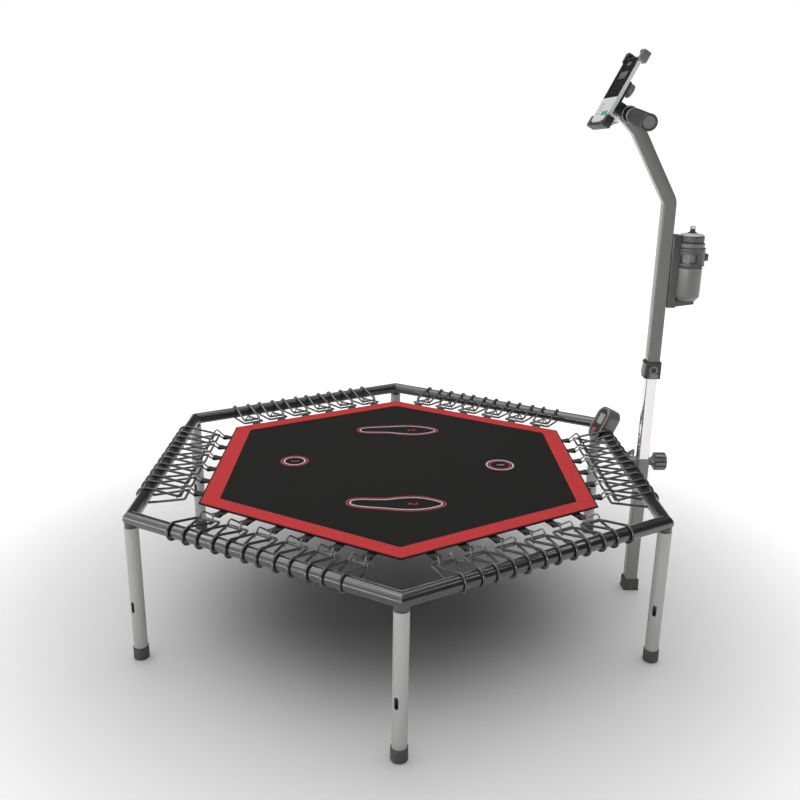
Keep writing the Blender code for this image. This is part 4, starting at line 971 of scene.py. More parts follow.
def smooth_loop(points):
    """A smooth closed curve through points."""
    steps = 5
    count = len(points)
    path = []
    for i in range(count):
        a, b, c, d = (Vector((*points[(i + k) % count], 0)) for k in (-1, 0, 1, 2))
        for k in range(steps):
            t = k / steps
            square = (2 * a - 5 * b + 4 * c - d) * t * t
            cube = (3 * b - a - 3 * c + d) * t ** 3
            path.append(0.5 * (2 * b + (c - a) * t + square + cube))
    return path


def printed_line(path, offset):
    """A flat line of ink that follows a closed path at a distance outside it."""
    half = 0.0018
    thin = 0.0001
    near, far = offset - half, offset + half
    section = [(near, -thin, 0), (far, -thin, 0), (far, thin, 0), (near, thin, 0)]
    middle = sum(path, Vector((0, 0, 0))) / len(path)
    return sweep(path, section, across=path[0] - middle, cyclic=True)


def build_prints():
    red = []
    white = []
    for mirror, x, y in ((-1, 0.0, -0.2355), (1, 0.0078, 0.2340)):
        path = [Vector((p.x, p.y * mirror, 0)) for p in smooth_loop(SHOE)]
        white.append(shifted(printed_line(path, 0.0), x, y, INK_Z))
        red.append(shifted(printed_line(path, 0.0070), x, y, INK_Z))
    for x, y, outer, inner in ((-0.2455, 0.0047, red, white), (0.2419, -0.0085, white, red)):
        outer.append(shifted(printed_line(circle(0.0315, 64), 0.0), x, y, INK_Z))
        inner.append(shifted(printed_line(circle(0.0245, 64), 0.0), x, y, INK_Z))
    turn = Matrix(((0, 1, 0, 0), (-1, 0, 0, 0), (0, 0, 1, 0), (0, 0, 0, 1)))
    for text, x, y, size, group in (
        ("2", 0.029, -0.2371, 0.028, red), ("2", 0.037, 0.2348, 0.028, red),
        ("3", -0.2455, 0.0047, 0.026, red), ("1", 0.2419, -0.0085, 0.026, white),
    ):
        group.append(shifted(moved(numeral(text, size), turn), x, y, INK_Z))
    return (
        piece("red_mat_print", joined(*red), RED_INK, "mat"),
        piece("white_mat_print", joined(*white), WHITE_INK, "mat"),
    )


def build_mat():
    edge = MAT_APOTHEM - 0.0008
    cloth = hexagon_lathe([
        (0, MAT_TOP), (0.20, MAT_TOP), (0.40, MAT_TOP), (edge, MAT_TOP),
        (MAT_APOTHEM, MAT_TOP - 0.0007), (MAT_APOTHEM, MAT_TOP - 0.0014), (edge, MAT_UNDER),
        (0.20, MAT_UNDER), (0, MAT_UNDER),
    ])
    sheet = piece("jumping_mat", cloth, MAT_CLOTH, "mat", ["mat_fabric"])
    # Each edge of the border: how far in from the edge, and at what height
    rounding = (
        (0, MAT_TOP + 0.0001), (0, BORDER_TOP - 0.0006), (0.0008, BORDER_TOP - 0.0001),
        (0.004, BORDER_TOP),
    )
    band = [(BORDER_INNER + reach, z) for reach, z in rounding]
    band += [(BORDER_OUTER - reach, z) for reach, z in reversed(rounding)]
    band = hexagon_lathe(band, ring=True)
    border = piece("red_border", band, BORDER_CLOTH, "mat", ["mat_border"])
    sewing = piece("border_stitches", stitches(), RED_THREAD, "mat")
    prints = build_prints()


# Upright, bracket, telescopic tube, knob and post

def build_upright():
    outer = rectangle(POST_SIDE, POST_SIDE, 0.003, 4)
    inner = rectangle(POST_BORE, POST_BORE, 0.0015, 4)
    path = [(POST_X, 0, z) for z in (0.0043, 0.3440, 0.3444)]
    shape = pipe(path, outer, inner, (1, 0, 0))
    piece("square_upright", shape, UPRIGHT_PAINT, "frame", ["upright_socket"])
    shoe = block((0.036, 0.036, 0.027), (POST_X, 0, 0.0135), 0.0010, corner=0.0035)
    pocket = block((0.0286, 0.0286, 0.027), (POST_X, 0, 0.0040 + 0.0135), 0.0002)
    lip = block((0.0385, 0.0385, 0.0024), (POST_X, 0, 0.0012), 0.0006, corner=0.0045)
    shape = joined(cut(shoe, pocket), lip)
    piece("upright_shoe", shape, RUBBER, "frame", ["upright_foot"])


def build_bracket():
    left = 0.5516
    right = 0.5678
    saddle = block((right - left, 0.026, 0.040), ((left + right) / 2, 0, RIM_Z), 0.0018)
    ends = [(RIM_APOTHEM, y, RIM_Z) for y in (-0.03, 0.03)]
    saddle = cut(saddle, rod(*ends, TUBE + 0.0002, 0.0001, 40))
    outline = softened([
        (0.5460, 0.3385, 0), (0.5647, 0.3385, 0), (0.5647, 0.3620, 0), (0.5605, 0.3620, 0),
        (0.5460, 0.3530, 0),
    ], 0.0022, 4, cyclic=True)
    shape = joined(saddle, stood_up(plate(outline, 0.004, 0.0006), 0, 0.012))
    piece("saddle_bracket", shape, BRACKET_PAINT, "frame", ["rim_bracket"])
    head = turned([
        (0, -0.001), (0.0042, -0.001), (0.0042, 0.0018), (0.0028, 0.0030), (0, 0.0032),
    ], 0.0006, 24)
    spots = [(0.5585, 0.0078, 0.3462)] + [(0.5597, -0.0130, RIM_Z + z) for z in (0.010, -0.010)]
    screws = repeated(head, [toward(spot, (0, -1, 0)) for spot in spots])
    piece("bracket_screws", screws, STEEL, "frame")


def build_telescope():
    outer = rectangle(0.0244, 0.0244, 0.0022, 4)
    inner = rectangle(0.0214, 0.0214, 0.0010, 4)
    shape = pipe([(POST_X, 0, 0.160), (POST_X, 0, 0.700)], outer, inner, (1, 0, 0))
    piece("chromed_tube", shape, CHROME, "telescope", ["inner_tube"])


def build_knob():
    grip = turned([
        (0, 0), (0.0065, 0), (0.0088, 0.0006), (0.0100, 0.0040), (0.0140, 0.0095),
        (0.0188, 0.0110), (0.0215, 0.0120), (0.0215, 0.0160), (0.0215, 0.0220), (0.0215, 0.0290),
        (0.0215, 0.0365), (0.0185, 0.0385), (0.0120, 0.0378), (0, 0.0376),
    ], 0.0012, 192)
    ribbed(grip, 12, 0.0052, 0.0112, 0.0384, 0.0170)
    moved(grip, toward((0.5981, 0, KNOB_Z), (1, 0, 0)))
    piece("ribbed_knob", grip, KNOB_PLASTIC, "clamp_knob", ["lock_knob"])


def leaning(degrees, length):
    """A step up the post where it leans back towards the mat."""
    lean = radians(degrees)
    return Vector((-sin(lean), 0, cos(lean))) * length


def post_points():
    foot = Vector((POST_X, 0, 0.5498))
    first = Vector((POST_X, 0, 0.942))
    second = first + leaning(29.3, 0.1685)
    return [foot, first, second, second + leaning(44, 0.0435)]


BAR = post_points()[-1]


def build_post():
    outer = rectangle(POST_SIDE, POST_SIDE, 0.003, 5)
    inner = rectangle(POST_BORE, POST_BORE, 0.0015, 5)
    shape = pipe(softened(post_points(), 0.030, 10), outer, inner, (0, 1, 0))
    piece("bent_post", shape, POST_PAINT, "handlebar", ["upper_post"])


def build_sleeve():
    """The plastic sleeve at the post's lower end, and what is on its front and right."""
    outer = rectangle(0.033, 0.033, 0.0035, 5)
    step = SLEEVE_LOW + 0.0062
    parts = []
    for low, high, bore, corner in (
        (step, SLEEVE_LOW + 0.0400, 0.0286, 0.0032), (SLEEVE_LOW, step, POST_BORE, 0.0026),
    ):
        path = [(POST_X, 0, low), (POST_X, 0, high)]
        parts.append(pipe(path, outer, rectangle(bore, bore, corner, 5), (1, 0, 0)))
    upper, lower = parts
    for x in (-0.0150, 0.0150):
        for y in (-0.0150, 0.0150):
            rib = block((0.0040, 0.0040, 0.0395), (POST_X + x, y, BUTTON_Z), 0.0009)
            upper = joined(upper, rib)
    shape = joined(upper, lower)
    piece("post_sleeve", shape, DARK_PLASTIC, "handlebar", ["post_collar"])
    ring = washer(0.0063, 0.0100, 0, 0.0015, 0.0005)
    moved(ring, toward((POST_X, SLEEVE_FRONT + 0.0001, BUTTON_Z), (0, -1, 0)))
    bump = turned([(0, 0), (0.0036, 0), (0.0030, 0.0014), (0, 0.0018)], 0.0006, 24)
    moved(bump, toward((POST_X + 0.0164, 0, BUTTON_Z - 0.004), (1, 0, 0)))
    panel = plate(rectangle(0.0225, 0.0085, 0.0012, 3), 0.0007, 0.0002)
    moved(panel, toward((POST_X + 0.0008, SLEEVE_FRONT + 0.0001, step), (0, -1, 0), (1, 0, 0)))
    shape = joined(ring, bump, panel)
    piece("sleeve_ring", shape, BRACKET_PAINT, "handlebar")


def build_collar():
    build_sleeve()
    outline = softened([
        (0, 0.5806, 0), (0.0010, 0.5800, 0), (0.0046, 0.5560, 0), (0.0038, 0.5500, 0),
        (0, 0.5470, 0),
    ], 0.0022, 4, cyclic=True)
    lever = moved(plate(outline, 0.024, 0.0012), Matrix.Rotation(pi, 4, "Y"))
    stood_up(lever, POST_X - 0.0164, -0.012)
    piece("sleeve_lever", lever, PALE_PLASTIC, "handlebar")
    seam = block((0.0042, 0.0244, 0.0016), (POST_X - 0.0180, 0, 0.5808), 0.0006)
    heel = block((0.0030, 0.0250, 0.0040), (POST_X - 0.0176, 0, 0.5462), 0.0008)
    piece("lever_edges", joined(seam, heel), BLACK_PLASTIC, "handlebar")
    pin = turned([(0, 0), (0.0021, 0), (0.0021, 0.0006), (0, 0.0006)], 0.0002, 20)
    moved(pin, toward((POST_X - 0.0092, SLEEVE_FRONT - 0.0004, 0.5500), (0, -1, 0)))
    piece("sleeve_pin", pin, BLACK_PLASTIC, "handlebar")
    button = turned([
        (0, -0.006), (0.0060, -0.006), (0.0060, 0.0038), (0.0045, 0.0042), (0, 0.0036),
    ], 0.0007, 32)
    moved(button, toward((POST_X, SLEEVE_FRONT, BUTTON_Z), (0, -1, 0)))
    piece("round_button", button, BLACK_PLASTIC, "post_button", ["snap_button"])


# Handlebar

def bar_end(sign):
    return BAR + Vector((-0.009, sign * 0.22, -0.016))


def bar_knee(sign):
    return BAR + Vector((0, sign * 0.045, 0))


def bar_way(sign):
    return (bar_end(sign) - bar_knee(sign)).normalized()


def build_grip(name, tip, way):
    """The foam grip that ends in a plug at tip, and its trim; way points off the bar's end."""
    start = tip - way * (GRIP_LENGTH + 0.0003)
    sleeve = turned([
        (0.0127, 0), (0.0150, 0), (0.0160, 0.0020), (0.0161, 0.030), (0.0162, 0.065),
        (0.0161, 0.100), (0.0160, 0.1280), (0.0150, GRIP_LENGTH), (0.0127, GRIP_LENGTH),
    ], 0.0018, ring=True)
    moved(sleeve, toward(start, way))
    grip = piece("foam_grip_" + name, sleeve, FOAM, "handlebar", ["grip_" + name])
    ring = turned([
        (0.0126, -0.0040), (0.0158, -0.0036), (0.0164, 0.0), (0.0126, 0.0),
    ], 0.0007, 40, ring=True)
    moved(ring, toward(start, way))
    piece("grip_ring_" + name, ring, WHITE_PLASTIC, "handlebar")
    plug = turned([
        (0, -0.015), (0.0100, -0.015), (0.0102, 0.0003), (0.0158, 0.0003), (0.0160, 0.0012),
        (0.0160, 0.0036), (0.0150, 0.0040), (0.0128, 0.0039), (0.0118, 0.0040), (0, 0.0042),
    ], 0.0005)
    moved(plug, toward(tip, way))
    names = ["grip_cap_" + name]
    piece("end_plug_" + name, plug, GREY_PLASTIC, "handlebar", names)
    trim = turned([
        (0.0122, 0.0034), (0.0164, 0.0002), (0.0164, 0.0038), (0.0150, 0.0056), (0.0124, 0.0056),
    ], 0.0004, ring=True)
    moved(trim, toward(tip, way))
    piece("end_ring_" + name, trim, BLACK_PLASTIC, "handlebar")


def build_bar():
    tips = {sign: bar_end(sign) - bar_way(sign) * 0.005 for sign in (-1, 1)}
    path = softened([tips[-1], bar_knee(-1), bar_knee(1), tips[1]], 0.060, 8)
    shape = sweep(path, circle(BAR_RADIUS, 40), across=(1, 0, 0))
    piece("drooping_bar", shape, BLACK_PAINT, "handlebar", ["t_bar"])
    build_grip("front", tips[-1], bar_way(-1))
    build_grip("back", tips[1], bar_way(1))


# Bottle and its cage

def at_bottle(shape):
    return shifted(shape, BOTTLE_X, 0, 0)


def build_bottle():
    body = turned([
        (0, 0.7276), (0.0150, 0.7262), (0.0222, 0.7260), (0.0295, 0.7350), (0.0295, 0.7985),
        (0.0264, 0.8030), (0.0264, 0.8220), (0.0264, 0.8400), (0.0295, 0.8445), (0.0295, 0.8515),
        (0.0288, 0.8538), (0.0262, 0.8544), (0.0240, 0.8545), (0.0240, 0.8620), (0.0222, 0.8620),
        (0.0222, 0.8535), (0.0250, 0.8500), (0.0250, 0.7920), (0.0279, 0.7880), (0.0279, 0.7360),
        (0.0210, 0.7280), (0, 0.7290),
    ], 0.0012, 72)
    at_bottle(body)
    piece("squeeze_bottle", body, BOTTLE_PLASTIC, "bottle", ["bottle_body"])
    # A thin pale ring just below the cage band stands in for the bright band of light there: a painted
    # highlight.
    line = turned([
        (0.0288, 0.7966), (0.0297, 0.7969), (0.0296, 0.7986), (0.0286, 0.7996),
    ], 0.0003, 72, ring=True)
    piece("bottle_painted_highlight", at_bottle(line), PALE_PLASTIC, "bottle")


def build_bottle_lid():
    dome = turned([
        (0, 0.8640), (0.0225, 0.8640), (0.0262, 0.8690), (0.0263, 0.8704), (0.0242, 0.8722),
        (0.0160, 0.8742), (0.0080, 0.8752), (0.0045, 0.8768), (0.0045, 0.8850), (0, 0.8850),
    ], 0.0014, 72)
    piece("cap_dome", at_bottle(dome), CAP_PLASTIC, "bottle_lid", ["bottle_cap"])
    rib = block((0.0008, 0.0012, 0.0112), (0, 0, 0), 0.0003, segments=1)
    moved(rib, Matrix.Translation((0.0268, 0, 0.8625)) @ Matrix.Rotation(radians(24), 4, "X"))
    ribs = repeated(rib, [Matrix.Rotation(2 * pi * k / 36, 4, "Z") for k in range(36)])
    piece("cap_ribs", at_bottle(ribs), PALE_PLASTIC, "bottle_lid")
    band = turned([
        (0.0243, 0.8550), (0.0262, 0.8550), (0.0268, 0.8562), (0.0268, 0.8600), (0.0268, 0.8650),
        (0.0268, 0.8686), (0.0263, 0.8698), (0.0243, 0.8698),
    ], 0.0006, 96, ring=True)
    piece("cap_band", at_bottle(band), BLACK_PLASTIC, "bottle_lid")
    flange = turned([
        (0.0046, 0.8756), (0.0098, 0.8752), (0.0100, 0.8762), (0.0046, 0.8770),
    ], 0.0004, 40, ring=True)
    piece("spout_flange", at_bottle(flange), DARK_PLASTIC, "bottle_lid")
    waist = turned([
        (0.0048, 0.8764), (0.0066, 0.8764), (0.0066, 0.8776), (0.0056, 0.8790), (0.0056, 0.8830),
        (0.0048, 0.8838),
    ], 0.0005, 40, ring=True)
    piece("spout_waist", at_bottle(waist), BLACK_PLASTIC, "bottle_spout")
    top = turned([
        (0, 0.8854), (0.0048, 0.8838), (0.0060, 0.8844), (0.0067, 0.8862), (0.0067, 0.8890),
        (0.0060, 0.8903), (0.0026, 0.8903), (0.0018, 0.8880), (0, 0.8878),
    ], 0.0005, 40)
    at_bottle(top)
    piece("spout_top", top, WHITE_PLASTIC, "bottle_spout", ["bottle_nozzle"])


def bottle_room(radius, low, high):
    """What the cage's parts are hollowed by, so that the bottle fits."""
    profile = [(0, low), (radius, low), (radius, high), (0, high)]
    return at_bottle(turned(profile, 0.0001, 72))


def build_cage():
    back = block((0.0218, 0.026, 0.163), (0.5964 + 0.0109, 0, 0.790), 0.0035, segments=4)
    outline = softened([
        (0.6070, 0.7105, 0), (0.6579, 0.7175, 0), (0.6579, 0.7257, 0), (0.6070, 0.7257, 0),
    ], 0.0016, 4, cyclic=True)
    lip = stood_up(plate(outline, 0.025, 0.0010), 0, 0.0125)
    shape = joined(cut(back, bottle_room(CAGE_INNER, 0.7262, 0.90)), lip)
    piece("cage_back_and_lip", shape, CAGE_PLASTIC, "handlebar", ["bottle_cage"])
    band = turned([
        (CAGE_INNER, 0.8040), (0.0326, 0.8040), (0.0326, 0.8060), (0.0320, 0.8068),
        (0.0320, 0.8392), (0.0326, 0.8400), (0.0326, 0.8422), (CAGE_INNER, 0.8422),
    ], 0.0005, 96, ring=True)
    window = plate(rectangle(0.034, 0.0200, 0.0040, 5), 0.030, 0)
    moved(window, toward((BOTTLE_X - 0.0095, -0.0130, 0.8205), (-0.10, -1, 0), (1, -0.10, 0)))
    band = cut(at_bottle(band), window)
    lug = block((0.0150, 0.0205, 0.0166), (0.6727, -0.0005, 0.8225), 0.0032)
    shape = joined(band, cut(lug, bottle_room(CAGE_INNER + 0.0001, 0.80, 0.85)))
    piece("cage_band", shape, CAGE_PLASTIC, "handlebar")
    # A thin pale ring round the band's top edge stands in for the light along that edge: a painted
    # highlight.
    trim = washer(0.0322, 0.0327, 0.8418, 0.8426, 0.0002, 96)
    piece("cage_rim_highlight", at_bottle(trim), PALE_PLASTIC, "handlebar")


# Phone and its holder, built flat: x across the phone, y along it, z out of its screen

def holder_place():
    turn = Matrix.Rotation(radians(9.8), 4, "Z") @ Matrix.Rotation(radians(29.2), 4, "Y")
    axes = Matrix(((0, 0, -1), (-1, 0, 0), (0, 1, 0))).to_4x4()
    middle = BAR + Vector((-0.0332, -0.0284, 0.0479))
    return Matrix.Translation(middle) @ turn @ axes @ Matrix.Rotation(radians(3), 4, "Z")


HOLDER = holder_place()
BACK = -0.0083
CRADLE_BACK = -0.0203


def held(name, shape, finish, body, replaces=()):
    return piece(name, moved(shape, HOLDER), finish, body, replaces)


def screen_patch(x, y, width, height, corner, level=0.00012):
    """A flat mark on the phone's screen."""
    return shifted(plate(rectangle(width, height, corner, 4), 0.00012, 0), x, y, level)


def on_screen(name, shape, finish):
    held(name, shape, finish, "phone_holder")


def build_phone():
    body = block((0.0715, 0.1475, 0.0080), (0, 0, -0.0040), 0.0016, corner=0.0085)
    held("phone_body", body, PHONE_METAL, "phone_holder", ["phone"])
    glass = plate(rectangle(0.0690, 0.1450, 0.0075, 6), 0.0004, 0.00015)
    on_screen("phone_screen", shifted(glass, 0, 0, -0.0003), SCREEN_DARK)
    on_screen("screen_page", screen_patch(0, -0.0446, 0.0684, 0.0546, 0.0015), SCREEN_PALE)
    marks = [screen_patch(x, 0.0365, 0.0092, 0.0105, 0.0015) for x in (-0.0115, 0.0, 0.0115)]
    marks.append(screen_patch(0.0, 0.0275, 0.0330, 0.0030, 0.0010))
    marks.append(screen_patch(0.031, 0.062, 0.004, 0.004, 0.0019))
    marks += [screen_patch(x, 0.0595, 0.0062, 0.0085, 0.0012) for x in (-0.0045, 0.0045)]
    on_screen("screen_marks", joined(*marks), SCREEN_GREY)
    faint = [
        screen_patch(-0.012 + spot * 0.0080, 0.0140 - row * 0.0100, 0.0048, 0.0032, 0.0012)
        for row in range(3) for spot in range(4)
    ]
    on_screen("screen_rows", joined(*faint), SCREEN_DIM)
    lines = [
        screen_patch(-0.0160, -0.0310 - row * 0.0075, 0.0150, 0.0026, 0.0010, level=0.0003)
        for row in range(4)
    ]
    on_screen("screen_lines", joined(*lines), SCREEN_LINE)
    green = [
        screen_patch(x, -0.0535, 0.0120, 0.0098, 0.0010, level=0.0003) for x in (0.0070, 0.0210)
    ]
    on_screen("screen_buttons", joined(*green), SCREEN_GREEN)


def claw_shape(side, sign, end, width):
    """One corner claw before it is hollowed for the phone."""
    place = (side * (CLAW_OUTER - width / 2), sign * (end - 0.0120), -0.00745)
    return block((width, 0.0240, 0.0196), place, 0.0032, segments=4)


def claw_set(sign, end, room_end, widths):
    """The claws at one end of the phone; widths gives the side and width of each."""
    shapes = [claw_shape(side, sign, end, width) for side, width in widths]
    room = block((0.0721, 2 * room_end, 0.0086), (0, 0, -0.0040), 0.0010)
    screen = block((0.0655, 2 * (room_end - 0.0030), 0.0160), (0, 0, 0.0079), 0.0005)
    inside = block((0.0410, 2 * end - 0.024, 0.0090), (0, 0, BACK - 0.0050 - 0.0045), 0.0005)
    return cut(joined(*shapes), room, screen, inside)


def claw_arm(side):
    """The flat arm by which a pair of claws slides in the cradle."""
    return block((0.0100, 0.0860, 0.0028), (side * 0.0055, side * -0.0370, BACK - 0.0016), 0.0005)


# A pale strip on the claws' outer lip stands in for the light along that edge: a painted highlight.
def claw_edge_highlight(name, sign, end):
    strip = block((0.0058, 0.0190, 0.0010), (-0.0362, sign * (end - 0.0118), 0.0023), 0.0004)
    held(name + "_claw_edge_highlight", strip, PALE_PLASTIC, name + "_claws")


def build_claws():
    end = PHONE_HALF + 0.0145
    slim = claw_set(1, end, PHONE_HALF + 0.0100, [(-1, 0.0128)])
    held("upper_claw_left", slim, BLACK_PLASTIC, "upper_claws")
    claw = claw_set(1, end, PHONE_HALF + 0.0100, [(1, 0.0180)])
    bridge = block((0.0631, 0.0095, 0.0048), (0, PHONE_HALF - 0.0045, BACK - 0.0025), 0.0010)
    shape = joined(claw, bridge, claw_arm(-1))
    names = ["cradle_upper_claws"]
    held("upper_claw_slide", shape, CLAW_PLASTIC, "upper_claws", names)
    claw_edge_highlight("upper", 1, end)
    end = PHONE_HALF + 0.0070
    claw_edge_highlight("lower", -1, end)
    claws = claw_set(-1, end, PHONE_HALF, [(-1, 0.0180), (1, 0.0180)])
    bridge = block((0.0631, 0.0062, 0.0175), (0, -(PHONE_HALF + 0.0036), -0.0075), 0.0012)
    shape = joined(claws, bridge, claw_arm(1))
    names = ["cradle_lower_claws"]
    held("lower_claw_slide", shape, BLACK_PLASTIC, "lower_claws", names)


def build_holder():
    middle = (BACK + CRADLE_BACK) / 2
    cradle = block((0.036, 0.071, 0.0118), (0, -0.0075, middle), 0.0014, corner=0.0060)
    channel = block((0.0216, 0.10, 0.0066), (0, -0.0075, BACK), 0.0003)
    hole = rod((0, 0.015, BACK), (0, 0.015, CRADLE_BACK - 0.01), 0.0053, 0.0001)
    shape = cut(cradle, channel, hole)
    held("cradle_plate", shape, BLACK_PLASTIC, "phone_holder", ["phone_cradle"])
    top = CRADLE_BACK - 0.0004
    wheel = turned([
        (0, top + 0.0080), (0.0050, top + 0.0080), (0.0050, top), (0.0135, top),
        (0.0145, top - 0.0010), (0.0145, top - 0.0060), (0.0145, top - 0.0120),
        (0.0132, top - 0.0130), (0, top - 0.0126),
    ], 0.0006, 192)
    ribbed(wheel, 24, 0.0011, top - 0.0128, top - 0.0002, 0.0125)
    shifted(wheel, 0, 0.015, 0)
    held("ribbed_wheel", wheel, KNOB_PLASTIC, "wheel", ["claw_wheel"])


def build_bar_clamp():
    middle = Vector((BAR.x, -0.029, BAR.z))
    ring = washer(0.0127, 0.0180, -0.0125, 0.0125, 0.0014, 56)
    moved(ring, toward(middle, (0, -1, 0)))
    center = (0, -0.027, CRADLE_BACK - 0.0003 - 0.0088)
    lump = block((0.024, 0.026, 0.0176), center, 0.0030, segments=4)
    ends = [middle + Vector((0, y, 0)) for y in (-0.04, 0.04)]
    lump = cut(moved(lump, HOLDER), rod(*ends, 0.0128, 0.0001, 56))
    shape = joined(ring, lump)
    names = ["phone_bar_clamp"]
    piece("clamp_ring_and_block", shape, BLACK_PLASTIC, "phone_clamp", names)
    lip = washer(0.0150, 0.0176, 0.0120, 0.0130, 0.0003)
    moved(lip, toward(middle, (0, -1, 0)))
    piece("clamp_ring_trim", lip, PALE_PLASTIC, "phone_clamp")


# Jump counter, built flat: x across its face, y up it, z out of it

def counter_place():
    azimuth = radians(197.4)
    tilt = radians(27.5)
    out = Vector((cos(tilt) * cos(azimuth), cos(tilt) * sin(azimuth), sin(tilt)))
    across = Vector((-sin(azimuth), cos(azimuth), 0))
    axes = Matrix((across, out.cross(across), out)).transposed().to_4x4()
    return Matrix.Translation((RIM_APOTHEM - 0.0156, 0.232, RIM_Z + 0.030)) @ axes


COUNTER = counter_place()


def counted(name, shape, finish, body, replaces=()):
    return piece(name, moved(shape, COUNTER), finish, body, replaces)


def stadium(width, height):
    return rectangle(width, height, width / 2 * 0.998, 14)


def outlined(outline, across, along, y=0.0):
    """A raised line round a flat outline on the counter's face."""
    path = [Vector((p.x, p.y + y, 0.0)) for p in outline]
    return sweep(path, rectangle(across, along, 0.0002, 2), across=(0, 0, 1), cyclic=True)


def build_counter():
    width, height = COUNTER_FACE
    case = shifted(plate(stadium(width, height), 0.0364, 0.0030, 4), 0, 0, -0.0397)
    room = rod((0, -0.1, 0), (0, 0.1, 0), TUBE + 0.0031, 0.0001, 48)
    room_place = COUNTER.inverted() @ Matrix.Translation((RIM_APOTHEM, STRAP_Y, RIM_Z))
    case = cut(case, moved(room, room_place))
    counted("counter_shell", case, SHELL_PLASTIC, "counter", ["counter_case"])
    face = shifted(plate(stadium(width, height), 0.0030, 0.0009), 0, 0, -0.0031)
    recess = shifted(plate(rectangle(0.020, 0.027, 0.0012, 3), 0.003, 0), 0, 0.012, -0.0010)
    hole = rod((-0.005, -0.025, -0.01), (-0.005, -0.025, 0.01), 0.0088, 0.0001, 40)
    face = cut(face, recess, hole)
    counted("counter_front", face, BLACK_PLASTIC, "counter", ["counter_face"])
    lines = []
    for inset, line_width in ((0.0016, 0.0013), (0.0052, 0.0011)):
        outline = stadium(width - 2 * inset, height - 2 * inset)
        lines.append(outlined(outline, 0.0012, line_width))
    lines.append(outlined(rectangle(0.0215, 0.0285, 0.0016, 4), 0.0010, 0.0006, y=0.012))
    counted("counter_bezel_lines", joined(*lines), WHITE_PLASTIC, "counter")
    display = plate(rectangle(0.0196, 0.0266, 0.0010, 3), 0.0004, 0)
    shifted(display, 0, 0.012, -0.0010)
    counted("counter_display", display, DISPLAY, "counter")
    dots = [(x, y, 0.0022) for x in (-0.0145, 0.0145) for y in (0.020, 0.012, 0.004)]
    dots.append((-0.005, -0.0375, 0.0020))
    dots = [
        shifted(plate(circle(size / 2, 16), 0.0003, 0.0001, 1), x, y, -0.0001)
        for x, y, size in dots
    ]
    counted("counter_marks", joined(*dots), WHITE_PLASTIC, "counter")
    button = turned([
        (0, -0.0015), (0.0085, -0.0015), (0.0085, 0.0012), (0.0060, 0.0020), (0, 0.0021),
    ], 0.0009)
    shifted(button, -0.005, -0.025, 0)
    counted("red_push_button", button, RED_RUBBER, "counter_key", ["counter_button"])
    build_strap()


def build_strap():
    """The counter's webbing strap round the rim, its edges a little wavy."""
    strap = washer(TUBE + 0.0003, TUBE + 0.0026, -0.012, 0.012, 0.0006, 96)
    for point in strap.verts:
        point.co.z *= 1 + 0.035 * sin(14 * atan2(point.co.y, point.co.x))
    moved(strap, toward((RIM_APOTHEM, STRAP_Y, RIM_Z), (0, 1, 0)))
    piece("counter_band", strap, WEBBING, "counter", ["counter_strap"])


# Floor and light

def build_floor():
    """A white floor that glows by itself away from the part, so that it ends in plain white."""
    shape = bmesh.new()
    bmesh.ops.create_circle(shape, cap_ends=True, segments=96, radius=60)
    mesh = bpy.data.meshes.new("studio_floor")
    shape.to_mesh(mesh)
    shape.free()
    finish = Finish("studio_floor", (0.90, 0.90, 0.90), 0.65, Specular_IOR_Level=0.25)
    grain = finish.noise(3, 3)
    finish.tones(grain, 0.995, 1.0)
    x, y, _ = finish.mat_axes()
    far = ((x * x + y * y) ** 0.5).between(0.66, 1.35)
    finish.put("Emission Strength", 1.0)
    finish.put("Emission Color", finish.mix(far, (0, 0, 0), (0.42, 0.42, 0.42)))
    finish.put("Roughness", grain * 0.05 + 0.62)
    mesh.materials.append(finish.material)
    floor = bpy.data.objects.new("studio_floor", mesh)
    bpy.context.scene.collection.objects.link(floor)


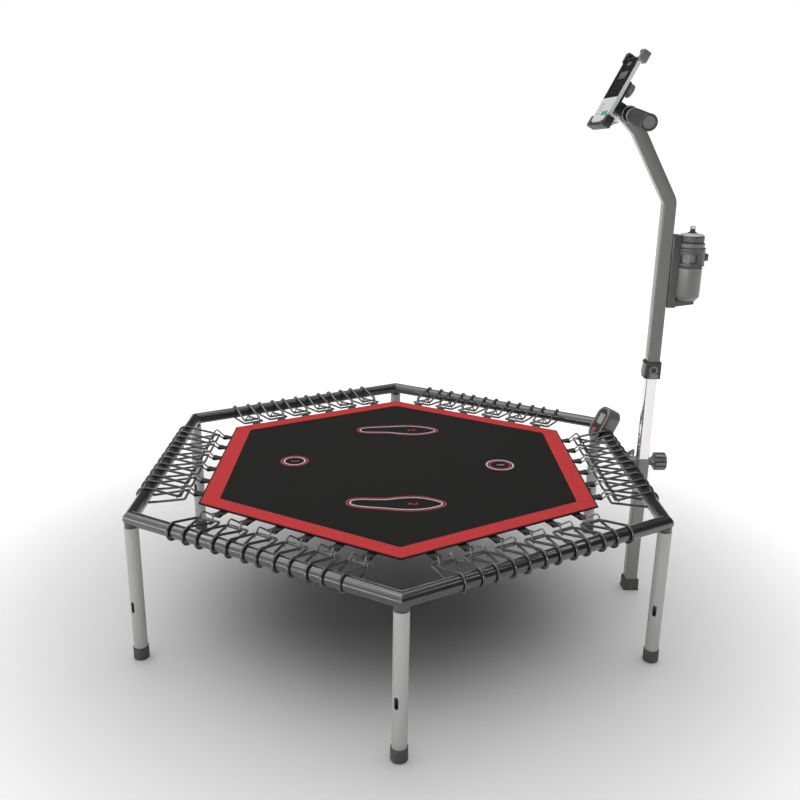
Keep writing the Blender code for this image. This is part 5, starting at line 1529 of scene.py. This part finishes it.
class Sky(Graph):
    """The world's nodes, lit by the direction that a ray looks in."""

    def __init__(self, tree):
        super().__init__(tree)
        self.direction = self.node("ShaderNodeTexCoord", output="Generated")

    def towards(self, lobe):
        """1 along a direction, falling to 0 square to it and behind."""
        inputs = {0: self.direction, 1: Vector(lobe).normalized()}
        settings = {"operation": "DOT_PRODUCT"}
        return self.node("ShaderNodeVectorMath", settings, inputs, "Value").math("MAXIMUM", 0.0)

    def white(self, strength):
        inputs = {"Color": (1, 1, 1, 1), "Strength": strength}
        return self.node("ShaderNodeBackground", None, inputs)

    def choice(self, ray, otherwise, chosen):
        """One sky for a kind of ray and another for the rest."""
        kind = self.node("ShaderNodeLightPath", output=ray)
        return self.node("ShaderNodeMixShader", None, {0: kind, 1: otherwise, 2: chosen})

    def soft(self):
        """A broad overhead light, leaning a little to the back."""
        return self.towards((0.0, 0.17, 1.0)) ** 5.0 * 2.72 + 0.004

    def shine(self):
        """What glossy surfaces mirror: a bright ceiling with two light rings, a pale wall behind
        and one on the left, and a low bright line in front of that one."""
        height = self.towards((0.0, 0.0, 1.0))
        whole = self.towards((-0.22, 0.28, 1.0)).between(0.80, 0.95) * 1.7 + 0.05
        for level, near, far, strength in ((0.766, 0.008, 0.020, 6.0), (0.935, 0.004, 0.010, 3.5)):
            ring = 1 - (height - level).math("ABSOLUTE").between(near, far)
            whole = ring * strength + whole
        low = 1 - height.between(0.08, 0.20)
        wall = self.towards((0.0, 1.0, 0.0)).between(0.45, 0.90) * low
        left = self.towards((-1.0, -0.15, 0.75)).between(0.66, 0.84) * height.between(0.16, 0.22)
        lower = 1 - height.between(0.09, 0.13)
        line = self.towards((-0.80, -0.60, 0.0)).between(0.70, 0.90) * lower
        return line * 10.0 + (left * 1.3 + (wall * 0.95 + whole))


def light_world():
    world = bpy.data.worlds.new("studio")
    bpy.context.scene.world = world
    world.use_nodes = True
    world.node_tree.nodes.clear()
    sky = Sky(world.node_tree)
    lit = sky.choice("Is Glossy Ray", sky.white(sky.soft()), sky.white(sky.shine()))
    seen = sky.choice("Is Camera Ray", lit, sky.white(1.0))
    output = sky.tree.nodes.new("ShaderNodeOutputWorld")
    sky.feed(output.inputs["Surface"], seen)


def soft_box(name, spot, target, size, power):
    data = bpy.data.lights.new(name, "AREA")
    data.shape = "RECTANGLE"
    data.size = size[0]
    data.size_y = size[1]
    data.energy = power
    lamp = bpy.data.objects.new(name, data)
    bpy.context.scene.collection.objects.link(lamp)
    lamp.matrix_world = PLACE @ toward(spot, Vector(spot) - Vector(target), (1, 0, 0))
    lamp.visible_camera = False


build_rim()
build_legs()
build_suspension()
build_mat()
build_upright()
build_bracket()
build_telescope()
build_knob()
build_post()
build_collar()
build_bar()
build_bottle()
build_bottle_lid()
build_cage()
build_phone()
build_claws()
build_holder()
build_bar_clamp()
build_counter()
screw = frame["nodes"]["lock_screw"]
screw.data.materials.clear()
screw.data.materials.append(STEEL)
build_floor()
light_world()
soft_box("front_fill", (-1.8, -4.4, 0.70), (0.0, 0.0, 0.5), (2.0, 0.7), 16)
soft_box("left_fill", (-3.2, -1.2, 0.80), (0.0, 0.0, 0.5), (0.5, 1.2), 2.5)
bpy.context.scene.view_settings.view_transform = "Standard"
